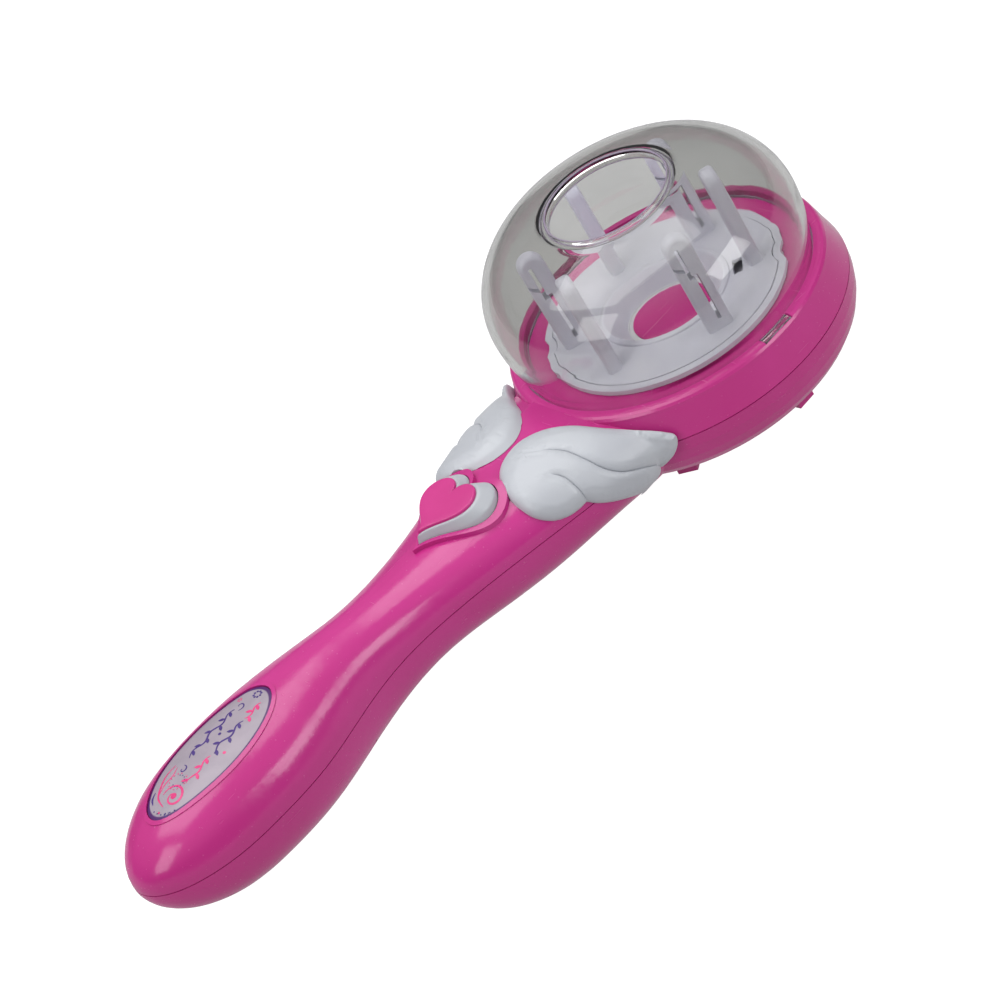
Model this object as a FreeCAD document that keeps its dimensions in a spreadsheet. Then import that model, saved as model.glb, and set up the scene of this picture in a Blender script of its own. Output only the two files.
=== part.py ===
import FreeCAD, Part
import math
import os
import Sketcher
from FreeCAD import Placement, Rotation, Vector

# A battery hair braider: a pink wand whose round head carries a turning plate
# with hair prongs under a clear dome. Millimetres, +Z up, head towards +X.
# The origin is the middle of the overall length, on the surface it rests on.

doc = FreeCAD.newDocument("hair_braider")
sheet = doc.addObject("Spreadsheet::Sheet", "sizes")

GRIP_END = "=overall_length - drum_radius - grip_round"

# A value that starts with = is worked out by the sheet from other sizes.
DRIVING_SIZES = [
    ("overall_length", 278.2, "end of the grip to the front of the head"),
    ("seam_level", 20.0, "height of the parting plane above the rest surface"),
    ("shell_wall", 2.0, "wall of both shells"),
    ("seam_gap", 0.3, "height of the visible parting groove"),
    ("seam_depth", 0.7, "depth of the visible parting groove"),
    ("drum_radius", 51.4, "head radius at the parting plane"),
    ("drum_taper", 2.5, "how much narrower the head is at its rim"),
    ("drum_rim", 11.2, "rim height above the parting plane"),
    ("rim_round", 2.2, "rounding of the rim"),
    ("drum_depth", 15.2, "bowl depth below the parting plane"),
    ("bowl_radius", 40.0, "flat radius of the bowl's floor"),
    ("deck_level", 9.4, "deck above the parting plane"),
    ("deck_wall", 2.0, "deck thickness"),
    ("deck_bore", 32.6, "deck opening radius"),
    ("foot_radius", 37.0, "feet from the head's axis"),
    ("foot_width", 6.0, "foot across"),
    ("foot_length", 5.0, "foot along the radius"),
    ("dome_radius", 45.0, "dome at its foot"),
    ("dome_bulge", 47.4, "widest radius of the dome"),
    ("dome_step", 2.2, "straight foot of the dome"),
    ("dome_height", 40.6, "dome foot to the top of its mouth"),
    ("dome_wall", 2.0, "dome thickness"),
    ("mouth_radius", 18.4, "radius of the dome's mouth"),
    ("mouth_lip", 1.2, "how far the mouth's lip hangs below the wall"),
    ("seat_gap", 0.4, "radial gap between the dome and its seat"),
    ("lift_gap", 0.1, "dome foot above the deck"),
    ("tab_width", 10.6, "dome tab across"),
    ("tab_reach", 2.6, "dome tab beyond the dome"),
    ("tab_height", 1.4, "dome tab thickness"),
    ("rotor_radius", "=deck_bore + 4.55", "outer edge of the turning ring"),
    ("plate_inset", 2.5, "ring width around the plate"),
    ("rotor_step", 1.3, "keyed step in the ring's outline"),
    ("running_gap", 0.3, "gap between the turning ring and the deck"),
    ("ring_level", 11.1, "ring top above the parting plane"),
    ("plate_level", 11.3, "plate top above the parting plane"),
    ("plate_wall", 1.1, "plate thickness"),
    ("skirt_radius", "=deck_bore - 0.4", "rotor skirt in the deck opening"),
    ("skirt_wall", 1.2, "rotor skirt thickness"),
    ("hub_radius", 19.0, "hub ring outside radius"),
    ("hub_mouth", 17.9, "hub well radius at the top"),
    ("hub_throat", 13.6, "hub well radius at the bottom"),
    ("hub_level", 12.1, "hub ring top above the parting plane"),
    ("slot_radius", 22.6, "hair slots from the head's axis"),
    ("prong_radius", 27.5, "prongs from the head's axis"),
    ("prong_height", 32.4, "prong above the plate"),
    ("prong_width", 7.8, "prong across its two legs"),
    ("prong_depth", 4.4, "prong thickness"),
    ("prong_slit", 1.1, "slit between the legs"),
    ("prong_jog", 0.8, "sideways step of the slit"),
    ("peg_radius", 1.6, "prong peg through the plate"),
    ("post_radius", 12.0, "centre post of the lower shell"),
    ("post_level", 6.0, "post top above the parting plane"),
    ("bush_wall", 1.2, "bush around the post"),
    ("fit_gap", 0.05, "radial clearance of running fits"),
    ("gear_level", 3.0, "underside of the rotor gear"),
    ("gear_face", 3.0, "rotor gear face width"),
    ("rotor_module", 0.8, "tooth size of the last mesh"),
    ("middle_module", 0.6, "tooth size of the middle mesh"),
    ("first_module", 0.5, "tooth size of the first mesh"),
    ("axle_radius", 1.0, "gear axle"),
    ("motor_radius", 7.2, "motor can"),
    ("motor_length", 16.0, "motor can length"),
    ("shaft_radius", 0.75, "motor shaft"),
    ("screw_radius", 1.25, "housing screw thread"),
    ("head_radius", 2.6, "housing screw head"),
    ("boss_radius", 3.4, "screw boss"),
    ("slim_boss", 2.8, "boss of an axle or a small screw"),
    ("screw_circle", 43.0, "housing screws of the head from its axis"),
    ("screw_seat", -9.0, "under the housing screw heads, from the parting plane"),
    ("grip_round", 36.8, "length of the rounded grip end"),
    ("heart_length", 25.0, "heart button, tip to lobes"),
    ("heart_width", 25.2, "heart button across"),
    ("heart_reach", 91.6, "middle of the heart from the head's axis"),
    ("heart_seat", 14.0, "heart collar above the parting plane"),
    ("heart_rise", 2.8, "heart button above its collar"),
    ("heart_tilt", 4.6, "slope of the heart in degrees"),
    ("heart_gap", 0.3, "gap round the heart button"),
    ("collar_width", 2.4, "raised collar round the heart"),
    ("collar_rise", 1.4, "collar above the shell"),
    ("press_travel", 1.5, "button travel"),
    ("cap_share", 0.76, "heart cap as a share of the button"),
    ("cap_height", 0.9, "heart cap thickness"),
    ("label_reach", GRIP_END + " - 1.8", "middle of the label from the head's axis"),
    ("label_length", 48.0, "label along the grip"),
    ("label_width", 22.0, "label across the grip"),
    ("label_sink", 0.1, "label below the shell round it"),
    ("label_wall", 0.7, "label thickness"),
    ("wing_rise", 3.2, "wing above the shell"),
    ("wing_gap", 0.06, "glue line under a wing"),
    ("wing_tilt", 52.0, "slope of the wings in degrees"),
    ("wing_start", 9.0, "wing blanks start this far out from the head's axis"),
    ("cell_radius", 7.2, "battery cell"),
    ("cell_length", 50.0, "battery cell, nub included"),
    ("cell_reach", GRIP_END + " - 8.8", "middle of the cells from the head's axis"),
    ("cell_level", -3.0, "cell axis above the parting plane"),
    ("door_length", 60.0, "battery door along the grip"),
    ("door_width", 25.0, "battery door across"),
    ("door_gap", 0.35, "gap round the battery door"),
    ("waist_screw", "=waist_reach - 8", "housing screw of the waist from the head's axis"),
    ("palm_screw", "=palm_reach + 26", "housing screw of the grip's end from the head's axis"),
    ("tongue_offset", 5.0, "door tongue from the middle"),
    ("tongue_width", 2.6, "door tongue across"),
    ("cell_offset", 7.6, "cell axis from the middle"),
    ("board_wall", 1.6, "circuit board"),
    ("board_level", -1.0, "circuit board underside"),
]

# Sections of the grip: distance from the head's axis, half width, height above
# the parting plane and depth below it. Behind the breast they share out the length.
GRIP_SECTIONS = [
    ("palm", GRIP_END, 21.4, 18.0, 19.4),
    ("grasp", "=breast_reach + 0.787 * (palm_reach - breast_reach)", 20.6, 17.8, 19.2),
    ("wrist", "=breast_reach + 0.5745 * (palm_reach - breast_reach)", 15.9, 16.4, 17.4),
    ("waist", "=breast_reach + 0.383 * (palm_reach - breast_reach)", 13.2, 13.8, 15.3),
    ("throat", "=breast_reach + 0.2128 * (palm_reach - breast_reach)", 14.3, 12.5, 14.6),
    ("breast", 96.0, 18.5, 12.4, 16.8),
    ("shoulder", 74.0, 24.4, 13.4, 18.0),
    ("collar", 52.0, 29.1, 12.3, 17.6),
    ("root", 30.0, 33.0, 11.0, 15.0),
]

rows = list(DRIVING_SIZES)
for name, reach, half, top, low in GRIP_SECTIONS:
    rows.append((name + "_reach", reach, "grip section from the head's axis"))
    rows.append((name + "_half", half, "half width there"))
    rows.append((name + "_top", top, "height there"))
    rows.append((name + "_low", low, "depth there"))

for number, (alias, value, note) in enumerate(rows, start=1):
    sheet.set("A%d" % number, note)
    sheet.set("B%d" % number, "0")
    sheet.setAlias("B%d" % number, alias)
for number, (alias, value, note) in enumerate(rows, start=1):
    sheet.set("B%d" % number, str(value))
doc.recompute()


def size(alias):
    return float(sheet.get(alias))


HEAD_X = size("overall_length") / 2 - size("drum_radius")
SEAM = size("seam_level")
HEAD_EXPR = "(sizes.overall_length / 2 - sizes.drum_radius)"
UP = Vector(0, 0, 1)
BIG = 400.0

nodes = []


def at(reach, y=0.0, level=0.0):
    """A point given from the head's axis and the parting plane."""
    return Vector(HEAD_X + reach, y, SEAM + level)


def keep(label, shape):
    """Store a finished piece as a node of its own."""
    feature = doc.addObject("Part::Feature", label)
    feature.Label = label
    feature.Shape = shape
    nodes.append(feature)
    return feature


def cylinder(radius, low, high, x=0.0, y=0.0):
    return Part.makeCylinder(radius, high - low, at(x, y, low), UP)


def block(x_low, x_high, y_low, y_high, low, high):
    return Part.makeBox(x_high - x_low, y_high - y_low, high - low, at(x_low, y_low, low))


def spread(radius, angle):
    turn = math.radians(angle)
    return radius * math.cos(turn), radius * math.sin(turn)


def worked_out(expression):
    """The number that an expression on the sheet gives now."""
    sheet.set("D1", "=" + expression.replace("sizes.", ""))
    doc.recompute()
    number = float(sheet.get("D1"))
    sheet.clear("D1")
    return number


def turned(label, profile, x_expr, y_expr="0", level_expr="0"):
    """A lathe piece: a closed profile of (radius, height) expressions about Z."""
    body = doc.addObject("PartDesign::Body", label)
    body.Label = label
    planes = {plane.Role: plane for plane in body.Origin.OriginFeatures}
    sketch = body.newObject("Sketcher::SketchObject", label + "_profile")
    sketch.AttachmentSupport = [(planes["XZ_Plane"], "")]
    sketch.MapMode = "FlatFace"
    corners = [Vector(worked_out(radius), worked_out(height), 0) for radius, height in profile]
    count = len(corners)
    for row in range(count):
        sketch.addGeometry(Part.LineSegment(corners[row], corners[(row + 1) % count]), False)
    for row in range(count):
        sketch.addConstraint(Sketcher.Constraint("Coincident", row, 2, (row + 1) % count, 1))
    for row, (radius, height) in enumerate(profile):
        if corners[row].x == 0:
            sketch.addConstraint(Sketcher.Constraint("PointOnObject", row, 1, -2))
        else:
            index = sketch.addConstraint(
                Sketcher.Constraint("DistanceX", -1, 1, row, 1, corners[row].x))
            sketch.setExpression("Constraints[%d]" % index, radius)
        index = sketch.addConstraint(
            Sketcher.Constraint("DistanceY", -1, 1, row, 1, corners[row].y))
        sketch.setExpression("Constraints[%d]" % index, height)
    revolution = body.newObject("PartDesign::Revolution", label + "_turning")
    revolution.Profile = sketch
    revolution.ReferenceAxis = (sketch, ["V_Axis"])
    revolution.Angle = 360
    body.Tip = revolution
    body.setExpression("Placement.Base.x", HEAD_EXPR + " + " + x_expr)
    body.setExpression("Placement.Base.y", y_expr)
    body.setExpression("Placement.Base.z", "sizes.seam_level + " + level_expr)
    nodes.append(body)
    return body


# ---------------------------------------------------------------- outer form

def superellipse(x, half, top, low):
    """One closed grip section in the plane at x, in four smooth quarters."""
    power = 2 / 2.3
    quarters = []
    for start, height in ((0, top), (90, top), (180, low), (270, low)):
        points = []
        for step in range(7):
            turn = math.radians(start + 15 * step)
            across, up = math.cos(turn), math.sin(turn)
            points.append(at(x, half * math.copysign(abs(across) ** power, across),
                             height * math.copysign(abs(up) ** power, up)))
        curve = Part.BSplineCurve()
        along = [Vector(0, 0, 1), Vector(0, -1, 0), Vector(0, 0, -1), Vector(0, 1, 0)]
        quarter = start // 90
        points[0] = at(x, (half, 0, -half, 0)[quarter], (0, top, 0, -low)[quarter])
        points[-1] = at(x, (0, -half, 0, half)[quarter], (top, 0, -low, 0)[quarter])
        curve.interpolate(Points=points, InitialTangent=along[quarter],
                          FinalTangent=along[(quarter + 1) % 4])
        quarters.append(curve.toShape())
    return Part.Wire(quarters)


def grip(grow):
    """The grip and neck as one closed loft, grown outwards by grow."""
    last = GRIP_SECTIONS[0][0]
    wires = []
    for turn in (86, 78, 66, 52, 37, 20):
        share = math.cos(math.radians(turn))
        reach = size(last + "_reach") + (size("grip_round") + grow) * math.sin(math.radians(turn))
        wires.append(superellipse(-reach, (size(last + "_half") + grow) * share,
                                  (size(last + "_top") + grow) * share,
                                  (size(last + "_low") + grow) * share))
    tip = size(last + "_reach") + size("grip_round") + grow
    for section in GRIP_SECTIONS:
        name = section[0]
        wires.append(superellipse(-size(name + "_reach"), size(name + "_half") + grow,
                                  size(name + "_top") + grow, size(name + "_low") + grow))
    return Part.makeLoft([Part.Vertex(at(-tip))] + wires, True, False)


def revolve(points):
    """A solid turned about the head's axis from (radius, height) corners."""
    corners = [at(radius, 0, height) for radius, height in points]
    wire = Part.makePolygon(corners + corners[:1])
    return Part.Face(wire).revolve(at(0), UP, 360)


def drum(grow):
    """The head's upper ring and lower bowl, grown outwards by grow."""
    radius = size("drum_radius") + grow
    rim = size("drum_rim") + grow
    bend = size("rim_round")
    top_radius = radius - size("drum_taper")
    upper = [(0, 0), (radius, 0), (top_radius, rim - bend)]
    for turn in (22.5, 45, 67.5, 90):
        angle = math.radians(turn)
        upper.append((top_radius - bend + bend * math.cos(angle),
                      rim - bend + bend * math.sin(angle)))
    upper.append((0, rim))
    depth = size("drum_depth") + grow
    floor = size("bowl_radius")
    lower = [(0, 0), (radius, 0)]
    for turn in (15, 30, 45, 60, 75, 90):
        angle = math.radians(turn)
        lower.append((floor + (radius - floor) * math.cos(angle) ** 0.8, -depth * math.sin(angle)))
    lower.append((0, -depth))
    return revolve(upper).fuse(revolve(lower))


grown = {}


def body(grow):
    """The whole outer form, grown outwards by grow."""
    if grow not in grown:
        grown[grow] = grip(grow).fuse(drum(grow)).Solids[0]
    return grown[grow].copy()


# ------------------------------------------------------- outlines laid on it

def heart_wire(length, width, shift=0.0):
    """A heart in the XY plane, tip towards -X, its middle at the origin."""
    halves = []
    for side in (1, -1):
        points = []
        for step in range(13):
            turn = math.pi * step / 12
            across = math.sin(turn) ** 3
            along = (13 * math.cos(turn) - 4 * math.cos(2 * turn)
                     - 2 * math.cos(3 * turn) - math.cos(4 * turn))
            points.append(Vector(shift + length * ((along + 16) / 27.3 - 0.5),
                                 side * width / 2 * across, 0))
        curve = Part.BSplineCurve()
        curve.interpolate(Points=points)
        halves.append(curve.toShape())
    return Part.Wire(Part.__sortEdges__(halves))


def heart_prism(grow, low, high):
    """The heart's outline grown by grow, between two levels of its own tilted frame."""
    wire = heart_wire(size("heart_length") + 2 * grow, size("heart_width") + 2 * grow)
    prism = Part.Face(wire).extrude(Vector(0, 0, high - low))
    prism.translate(Vector(0, 0, low))
    return tilted(prism)


def tilted(shape):
    """Move a shape from the heart's own frame into the wand's."""
    shape.Placement = Placement(at(-size("heart_reach"), 0, size("heart_seat")),
                                Rotation(Vector(0, 1, 0), -size("heart_tilt"))) * shape.Placement
    return shape


def label_prism(grow):
    """The label's ellipse grown by grow, as a tall upright column."""
    half = Part.Ellipse(at(-size("label_reach")), size("label_length") / 2 + grow,
                        size("label_width") / 2 + grow)
    return Part.Face(Part.Wire([half.toShape()])).extrude(Vector(0, 0, BIG / 4))


# Wing outline in the plane that leans back by wing_tilt: distance from the
# head's axis along X, and height in that plane. Two notches part the feathers.
TOP_FEATHER = [(-43.6, -22.7), (-40.6, -23.4), (-38.4, -22.0), (-37.7, -19.8), (-39.2, -17.0),
               (-44.0, -9.8), (-48.2, -2.6), (-51.6, 3.0), (-56.4, 7.6), (-63.0, 10.2),
               (-70.4, 9.6), (-76.0, 6.4), (-79.8, 0.6), (-80.2, -6.2), (-77.4, -11.0),
               (-73.4, -13.6), (-69.6, -14.6), (-66.6, -14.7)]
MIDDLE_FEATHER = [(-66.6, -14.7), (-63.4, -17.8), (-58.6, -20.8), (-52.8, -23.2),
                  (-47.6, -24.4), (-44.6, -24.0), (-43.6, -22.7)]


def wing_prism(side):
    lean = math.radians(size("wing_tilt"))
    outward = Vector(0, side * math.sin(lean), math.cos(lean))
    upward = Vector(0, -side * math.cos(lean), math.sin(lean))
    edges = []
    for outline in (TOP_FEATHER, MIDDLE_FEATHER):
        curve = Part.BSplineCurve()
        curve.interpolate(Points=[at(along) + upward * up + outward * size("wing_start")
                                  for along, up in outline])
        edges.append(curve.toShape())
    return Part.Face(Part.Wire(edges)).extrude(outward * (BIG / 4))


# -------------------------------------------------------------- both housings

outside = body(0)
raised_collar = body(size("collar_rise")).common(heart_prism(size("collar_width"), -6, 6))
label_border = body(size("label_sink") + 0.2).common(label_prism(1.5))
wall = size("shell_wall")
inner_drum = drum(-wall)
deck_under = size("deck_level") - size("deck_wall")
deck_slab = cylinder(size("drum_radius"), deck_under, size("drum_rim") + 2)
hollow = grip(-wall).fuse(inner_drum).cut(deck_slab)
groove = outside.cut(body(-size("seam_depth"))).common(
    block(-BIG, BIG, -BIG, BIG, -size("seam_gap") / 2, size("seam_gap") / 2))
case = outside.cut(hollow)
above = block(-BIG, BIG, -BIG, BIG, 0, BIG)
below = block(-BIG, BIG, -BIG, BIG, -BIG, 0)

screw_places = [spread(size("screw_circle"), angle) for angle in (45, -45, 120, -120)]
screw_places += [(-size("waist_screw"), 0.0), (-size("palm_screw"), 0.0)]
frame_screw_places = [(-46.0, 11.0), (-46.0, -11.0)]
board_screw_places = (-107.0, -81.0)
screw_seat = size("screw_seat")
axle_seat = -4.5
rotor_teeth, last_teeth = 84, 12
middle_teeth, middle_pinion_teeth = 40, 10
first_teeth, motor_teeth = 34, 10
second_x = -size("rotor_module") * (rotor_teeth + last_teeth) / 2
first_x = second_x - size("middle_module") * (middle_teeth + middle_pinion_teeth) / 2
motor_x = first_x - size("first_module") * (first_teeth + motor_teeth) / 2


def top_bosses():
    boss, pilot = size("boss_radius"), size("screw_radius") + size("fit_gap")
    stubs = [cylinder(boss, 0.2, 13, x, y).cut(cylinder(pilot, -1, 8, x, y))
             for x, y in screw_places]
    for x, start in ((second_x, 7.0), (first_x, 7.3)):
        stubs.append(cylinder(2.4, start, 13, x).cut(
            cylinder(size("axle_radius") + size("fit_gap"), start - 1, deck_under + 1.4, x)))
    return stubs


top = case.common(above)
inside_skin = body(-wall / 2).cut(cylinder(size("drum_radius") + 5, size("deck_level") - 0.6, 60))
posts = Part.makeCompound(top_bosses()).common(inside_skin)
top = top.fuse([raised_collar.cut(hollow), label_border.cut(hollow).common(above)]).fuse(posts.Solids)
seat_radius = size("dome_radius") + size("seat_gap")
tab_half = size("tab_width") / 2 + size("seat_gap")
tab_end = seat_radius + size("tab_reach")
top = top.cut([
    cylinder(seat_radius, size("deck_level"), 60),
    cylinder(size("deck_bore"), deck_under - 1, 60),
    block(-tab_half, tab_half, -tab_end, tab_end, size("deck_level"), 60),
    heart_prism(size("heart_gap"), -20, 20),
    label_prism(0.25).cut(body(-size("label_sink") - size("label_wall"))),
    cylinder(size("axle_radius") + size("fit_gap"), 5, deck_under + 1.4, second_x),
    groove,
])
keep("top_housing", top.Solids[0])

door_middle = -size("cell_reach")
door_low = door_middle - size("door_length") / 2
door_high = door_middle + size("door_length") / 2
door_half = size("door_width") / 2
door_screw_x = door_high - 2.6
gap = size("door_gap")
floor = -size("drum_depth") + wall
cell_end = size("cell_length") / 2


def bottom_extras():
    """Posts, ribs and the motor cradle that stand up from the lower shell."""
    boss = size("boss_radius")
    parts = [cylinder(boss, -30, -0.2, x, y) for x, y in screw_places]
    parts.append(cylinder(size("post_radius"), -30, size("post_level")))
    for x, y in [(second_x, 0), (first_x, 0)] + frame_screw_places:
        parts.append(cylinder(size("slim_boss"), -30, axle_seat, x, y))
    parts.append(cylinder(size("motor_radius") + 1.4, -30, -8, motor_x).cut(
        cylinder(size("motor_radius") + 0.1, -14.2, -5, motor_x)))
    for x in (door_middle - cell_end - 3.6, door_middle + cell_end + 2.4):
        parts.append(block(x, x + 1.2, -30, 30, -30, -0.2))
    for x in board_screw_places:
        parts.append(cylinder(2.0, -30, size("board_level"), x))
    parts.append(cylinder(2.0, -12, -3, door_screw_x))
    return parts


feet = []
for angle in (88, 146, -88, -146):
    reach, half_across = size("foot_length") / 2, size("foot_width") / 2
    foot = block(size("foot_radius") - reach, size("foot_radius") + reach,
                 -half_across, half_across, -SEAM, -8)
    foot.rotate(at(0), UP, angle)
    feet.append(foot)

lower_space = body(-wall / 2).common(below)
inner_parts = []
for piece in bottom_extras():
    inner_parts.append(piece.common(lower_space) if piece.BoundBox.ZMax <= SEAM
                       else piece.cut(block(-BIG, BIG, -BIG, BIG, -BIG, floor - wall / 2)))
foot_parts = [foot.cut(inner_drum) for foot in feet]
bottom = case.common(below).fuse(inner_parts + foot_parts)
cuts = [groove, cylinder(size("post_radius") - 1.6, -30, size("post_level") - 1.6)]
for x, y in screw_places:
    cuts.append(cylinder(size("screw_radius") + 0.25, -30, 1, x, y))
    cuts.append(cylinder(size("head_radius") + 0.4, -30, screw_seat, x, y))
for x in (second_x, first_x):
    cuts.append(cylinder(size("axle_radius") + size("fit_gap"), -9, 0, x))
for x, y in frame_screw_places:
    cuts.append(cylinder(1.05, -10, 0, x, y))
for x in board_screw_places:
    cuts.append(cylinder(1.05, -9, 0, x))
cuts.append(cylinder(1.3, -12, -6, door_screw_x))
cuts.append(block(door_low - gap, door_high + gap, -door_half - gap, door_half + gap, -30, -10))
bottom = bottom.cut(cuts)
keep("bottom_housing", max(bottom.Solids, key=lambda solid: solid.Volume))

# --------------------------------------------------------------- battery door

door_skin = case.common(block(door_low, door_high, -door_half, door_half, -30, -10))
tongue_half = size("tongue_width") / 2
tongues, legs = [], []
for y in (-size("tongue_offset"), size("tongue_offset")):
    tongues.append(block(door_low - 2.6, door_low + 4, y - tongue_half, y + tongue_half,
                         -11.8, -10.8))
    legs.append(block(door_low + 1, door_low + 4, y - tongue_half, y + tongue_half, -30, -10.8))
door_body = door_skin.fuse([piece.common(body(-wall / 2)) for piece in tongues + legs])
door_body = door_body.fuse(cylinder(3.3, -30, -12.2, door_screw_x).common(
    body(-wall / 2)).common(block(door_low, door_high, -door_half, door_half, -30, 0)))
door_body = door_body.cut([cylinder(1.35, -30, 0, door_screw_x),
                           cylinder(2.5, -30, -15.0, door_screw_x)])
keep("battery_door", max(door_body.Solids, key=lambda solid: solid.Volume))

# ---------------------------------------------------------- label and wings

label = body(-size("label_sink")).cut(body(-size("label_sink") - size("label_wall")))
keep("label_plate", label.common(label_prism(0)).common(above).Solids[0])

for name, side in (("left_wing", 1), ("right_wing", -1)):
    wing = body(size("wing_rise")).common(wing_prism(side)).cut(
        [body(size("wing_gap")), heart_prism(size("collar_width") + 0.1, -8, 8)])
    keep(name, max(wing.Solids, key=lambda solid: solid.Volume))

# ----------------------------------------------------------------- clear dome

def dome_outline(inset):
    """Side arc, shoulder arc and crown arc of the dome, moved inwards by inset."""
    foot_level = size("deck_level") + size("lift_gap")
    foot_radius, bulge = size("dome_radius"), size("dome_bulge")
    mouth, mouth_level = size("mouth_radius"), foot_level + size("dome_height")
    arc_level = foot_level + size("dome_step")
    waist_level = foot_level + 0.4 * size("dome_height")
    rise, flare = waist_level - arc_level, bulge - foot_radius
    side = (flare ** 2 + rise ** 2) / (2 * flare)
    crown = 2.1 * foot_radius
    crown_level = mouth_level - math.sqrt(crown ** 2 - mouth ** 2)
    drop = waist_level - crown_level
    shoulder = (crown ** 2 - drop ** 2 - bulge ** 2) / (2 * (crown - bulge))
    side_centre = Vector(bulge - side, waist_level)
    shoulder_centre = Vector(bulge - shoulder, waist_level)
    crown_centre = Vector(0, crown_level)
    touch = math.atan2(drop, bulge - shoulder)
    start = math.asin((arc_level - waist_level) / side)
    arcs = []
    for centre, radius, first, last in (
            (side_centre, side - inset, start, 0.0),
            (shoulder_centre, shoulder - inset, 0.0, touch),
            (crown_centre, crown - inset, touch, math.acos(mouth / (crown - inset)))):
        points = [at(centre.x + radius * math.cos(first + (last - first) * step / 2), 0,
                     centre.y + radius * math.sin(first + (last - first) * step / 2))
                  for step in range(3)]
        arcs.append(points)
    return arcs


def dome():
    outer, inner = dome_outline(0.0), dome_outline(size("dome_wall"))
    foot = size("deck_level") + size("lift_gap")
    outer_foot = Vector(outer[0][0].x, 0, SEAM + foot)
    inner_foot = Vector(inner[0][0].x, 0, SEAM + foot)
    rim_top, rim_low = outer[-1][-1], inner[-1][-1]
    lip_low = rim_low - Vector(0, 0, size("mouth_lip"))
    lip_back = lip_low + Vector(size("dome_wall") * 0.8, 0, 0)
    lip_root = Vector(lip_back.x, 0, rim_low.z + 0.4)
    edges = [Part.LineSegment(outer_foot, outer[0][0]).toShape()]
    edges += [Part.Arc(*points).toShape() for points in outer]
    edges.append(Part.LineSegment(rim_top, rim_low).toShape())
    edges += [Part.Arc(*points).toShape() for points in inner]
    edges.append(Part.LineSegment(inner[0][0], inner_foot).toShape())
    edges.append(Part.LineSegment(inner_foot, outer_foot).toShape())
    shell = Part.Face(Part.Wire(Part.__sortEdges__(edges))).revolve(at(0), UP, 360)
    lip = Part.makePolygon([rim_top, lip_low, lip_back, lip_root, rim_top])
    lip_ring = Part.Face(lip).revolve(at(0), UP, 360)
    half, reach = size("tab_width") / 2, size("dome_radius") + size("tab_reach")
    tabs = block(-half, half, -reach, reach, foot, foot + size("tab_height")).cut(
        cylinder(size("dome_radius") - 0.8, foot - 1, foot + 3))
    return shell.fuse([lip_ring, tabs])


dome_shape = dome()
keep("dome_cover", dome_shape.Solids[0])

# --------------------------------------------------------------- turning head

def stepped_disc(radius, low, high):
    """A disc whose outline steps in and out at two opposite places."""
    step = size("rotor_step")
    disc = cylinder(radius, low, high)
    for centre in (149.0, -34.0):
        for turn, depth in ((-9, step), (9, -step)):
            x, y = spread(radius, centre + turn)
            if depth > 0:
                bite_x, bite_y = spread(radius + 9.0 - depth, centre + turn)
                disc = disc.cut(cylinder(9.0, low - 1, high + 1, bite_x, bite_y))
            else:
                bump_x, bump_y = spread(radius - 8.4, centre + turn)
                disc = disc.fuse(cylinder(8.9, low, high, bump_x, bump_y))
    return disc


skirt = size("skirt_radius")
skirt_inner = skirt - size("skirt_wall")
gear_top = size("gear_level") + size("gear_face")
flange_low = size("deck_level") + size("running_gap")
plate_low = size("plate_level") - size("plate_wall")
plate_radius = size("rotor_radius") - size("plate_inset")
base_floor = gear_top + 1.5
screw_ring = [spread(25.0, angle) for angle in (48, 168, 288)]
hub_hole = size("hub_radius") + 0.1

rotor_base = stepped_disc(size("rotor_radius"), flange_low, size("ring_level"))
rotor_base = rotor_base.cut(stepped_disc(plate_radius + 0.25, plate_low, 20))
rotor_base = rotor_base.cut(cylinder(skirt_inner, 0, 20))
rotor_base = rotor_base.fuse([
    cylinder(skirt, gear_top, flange_low + 0.2).cut(cylinder(skirt_inner, 0, 20)),
    cylinder(skirt, gear_top, base_floor).cut(cylinder(hub_hole, 0, 20))])
rotor_base = rotor_base.cut([cylinder(1.45, 0, 20, x, y) for x, y in screw_ring])
keep("rotor_base", rotor_base.Solids[0])

prong_angles = (20, 78, 146, 190, 262, 320)
prong_leans = (155, 65, 155, 65, 155, 65)
prong_places = [spread(size("prong_radius"), angle) for angle in prong_angles]
rotor_plate = stepped_disc(plate_radius, plate_low, size("plate_level"))
rotor_plate = rotor_plate.cut([cylinder(hub_hole, 0, 20)]
                              + [cylinder(size("peg_radius") + 0.1, 0, 20, x, y)
                                 for x, y in prong_places])
for angle in (138.0, -41.0):
    slot = block(size("slot_radius") - 1.5, size("slot_radius") + 1.5, -3.4, 3.4, 0, 20)
    slot.rotate(at(0), UP, angle)
    rotor_plate = rotor_plate.cut(slot)
keep("rotor_plate", rotor_plate.Solids[0])

turned("hub_ring", [
    ("sizes.hub_throat", "sizes.gear_level + sizes.gear_face"),
    ("sizes.hub_radius", "sizes.gear_level + sizes.gear_face"),
    ("sizes.hub_radius", "sizes.plate_level"),
    ("sizes.hub_radius + 1.2", "sizes.plate_level"),
    ("sizes.hub_radius + 0.9", "sizes.hub_level - 0.3"),
    ("sizes.hub_radius", "sizes.hub_level"),
    ("sizes.hub_mouth + 0.5", "sizes.hub_level"),
    ("sizes.hub_mouth", "sizes.hub_level - 0.5")], "0")


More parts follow.
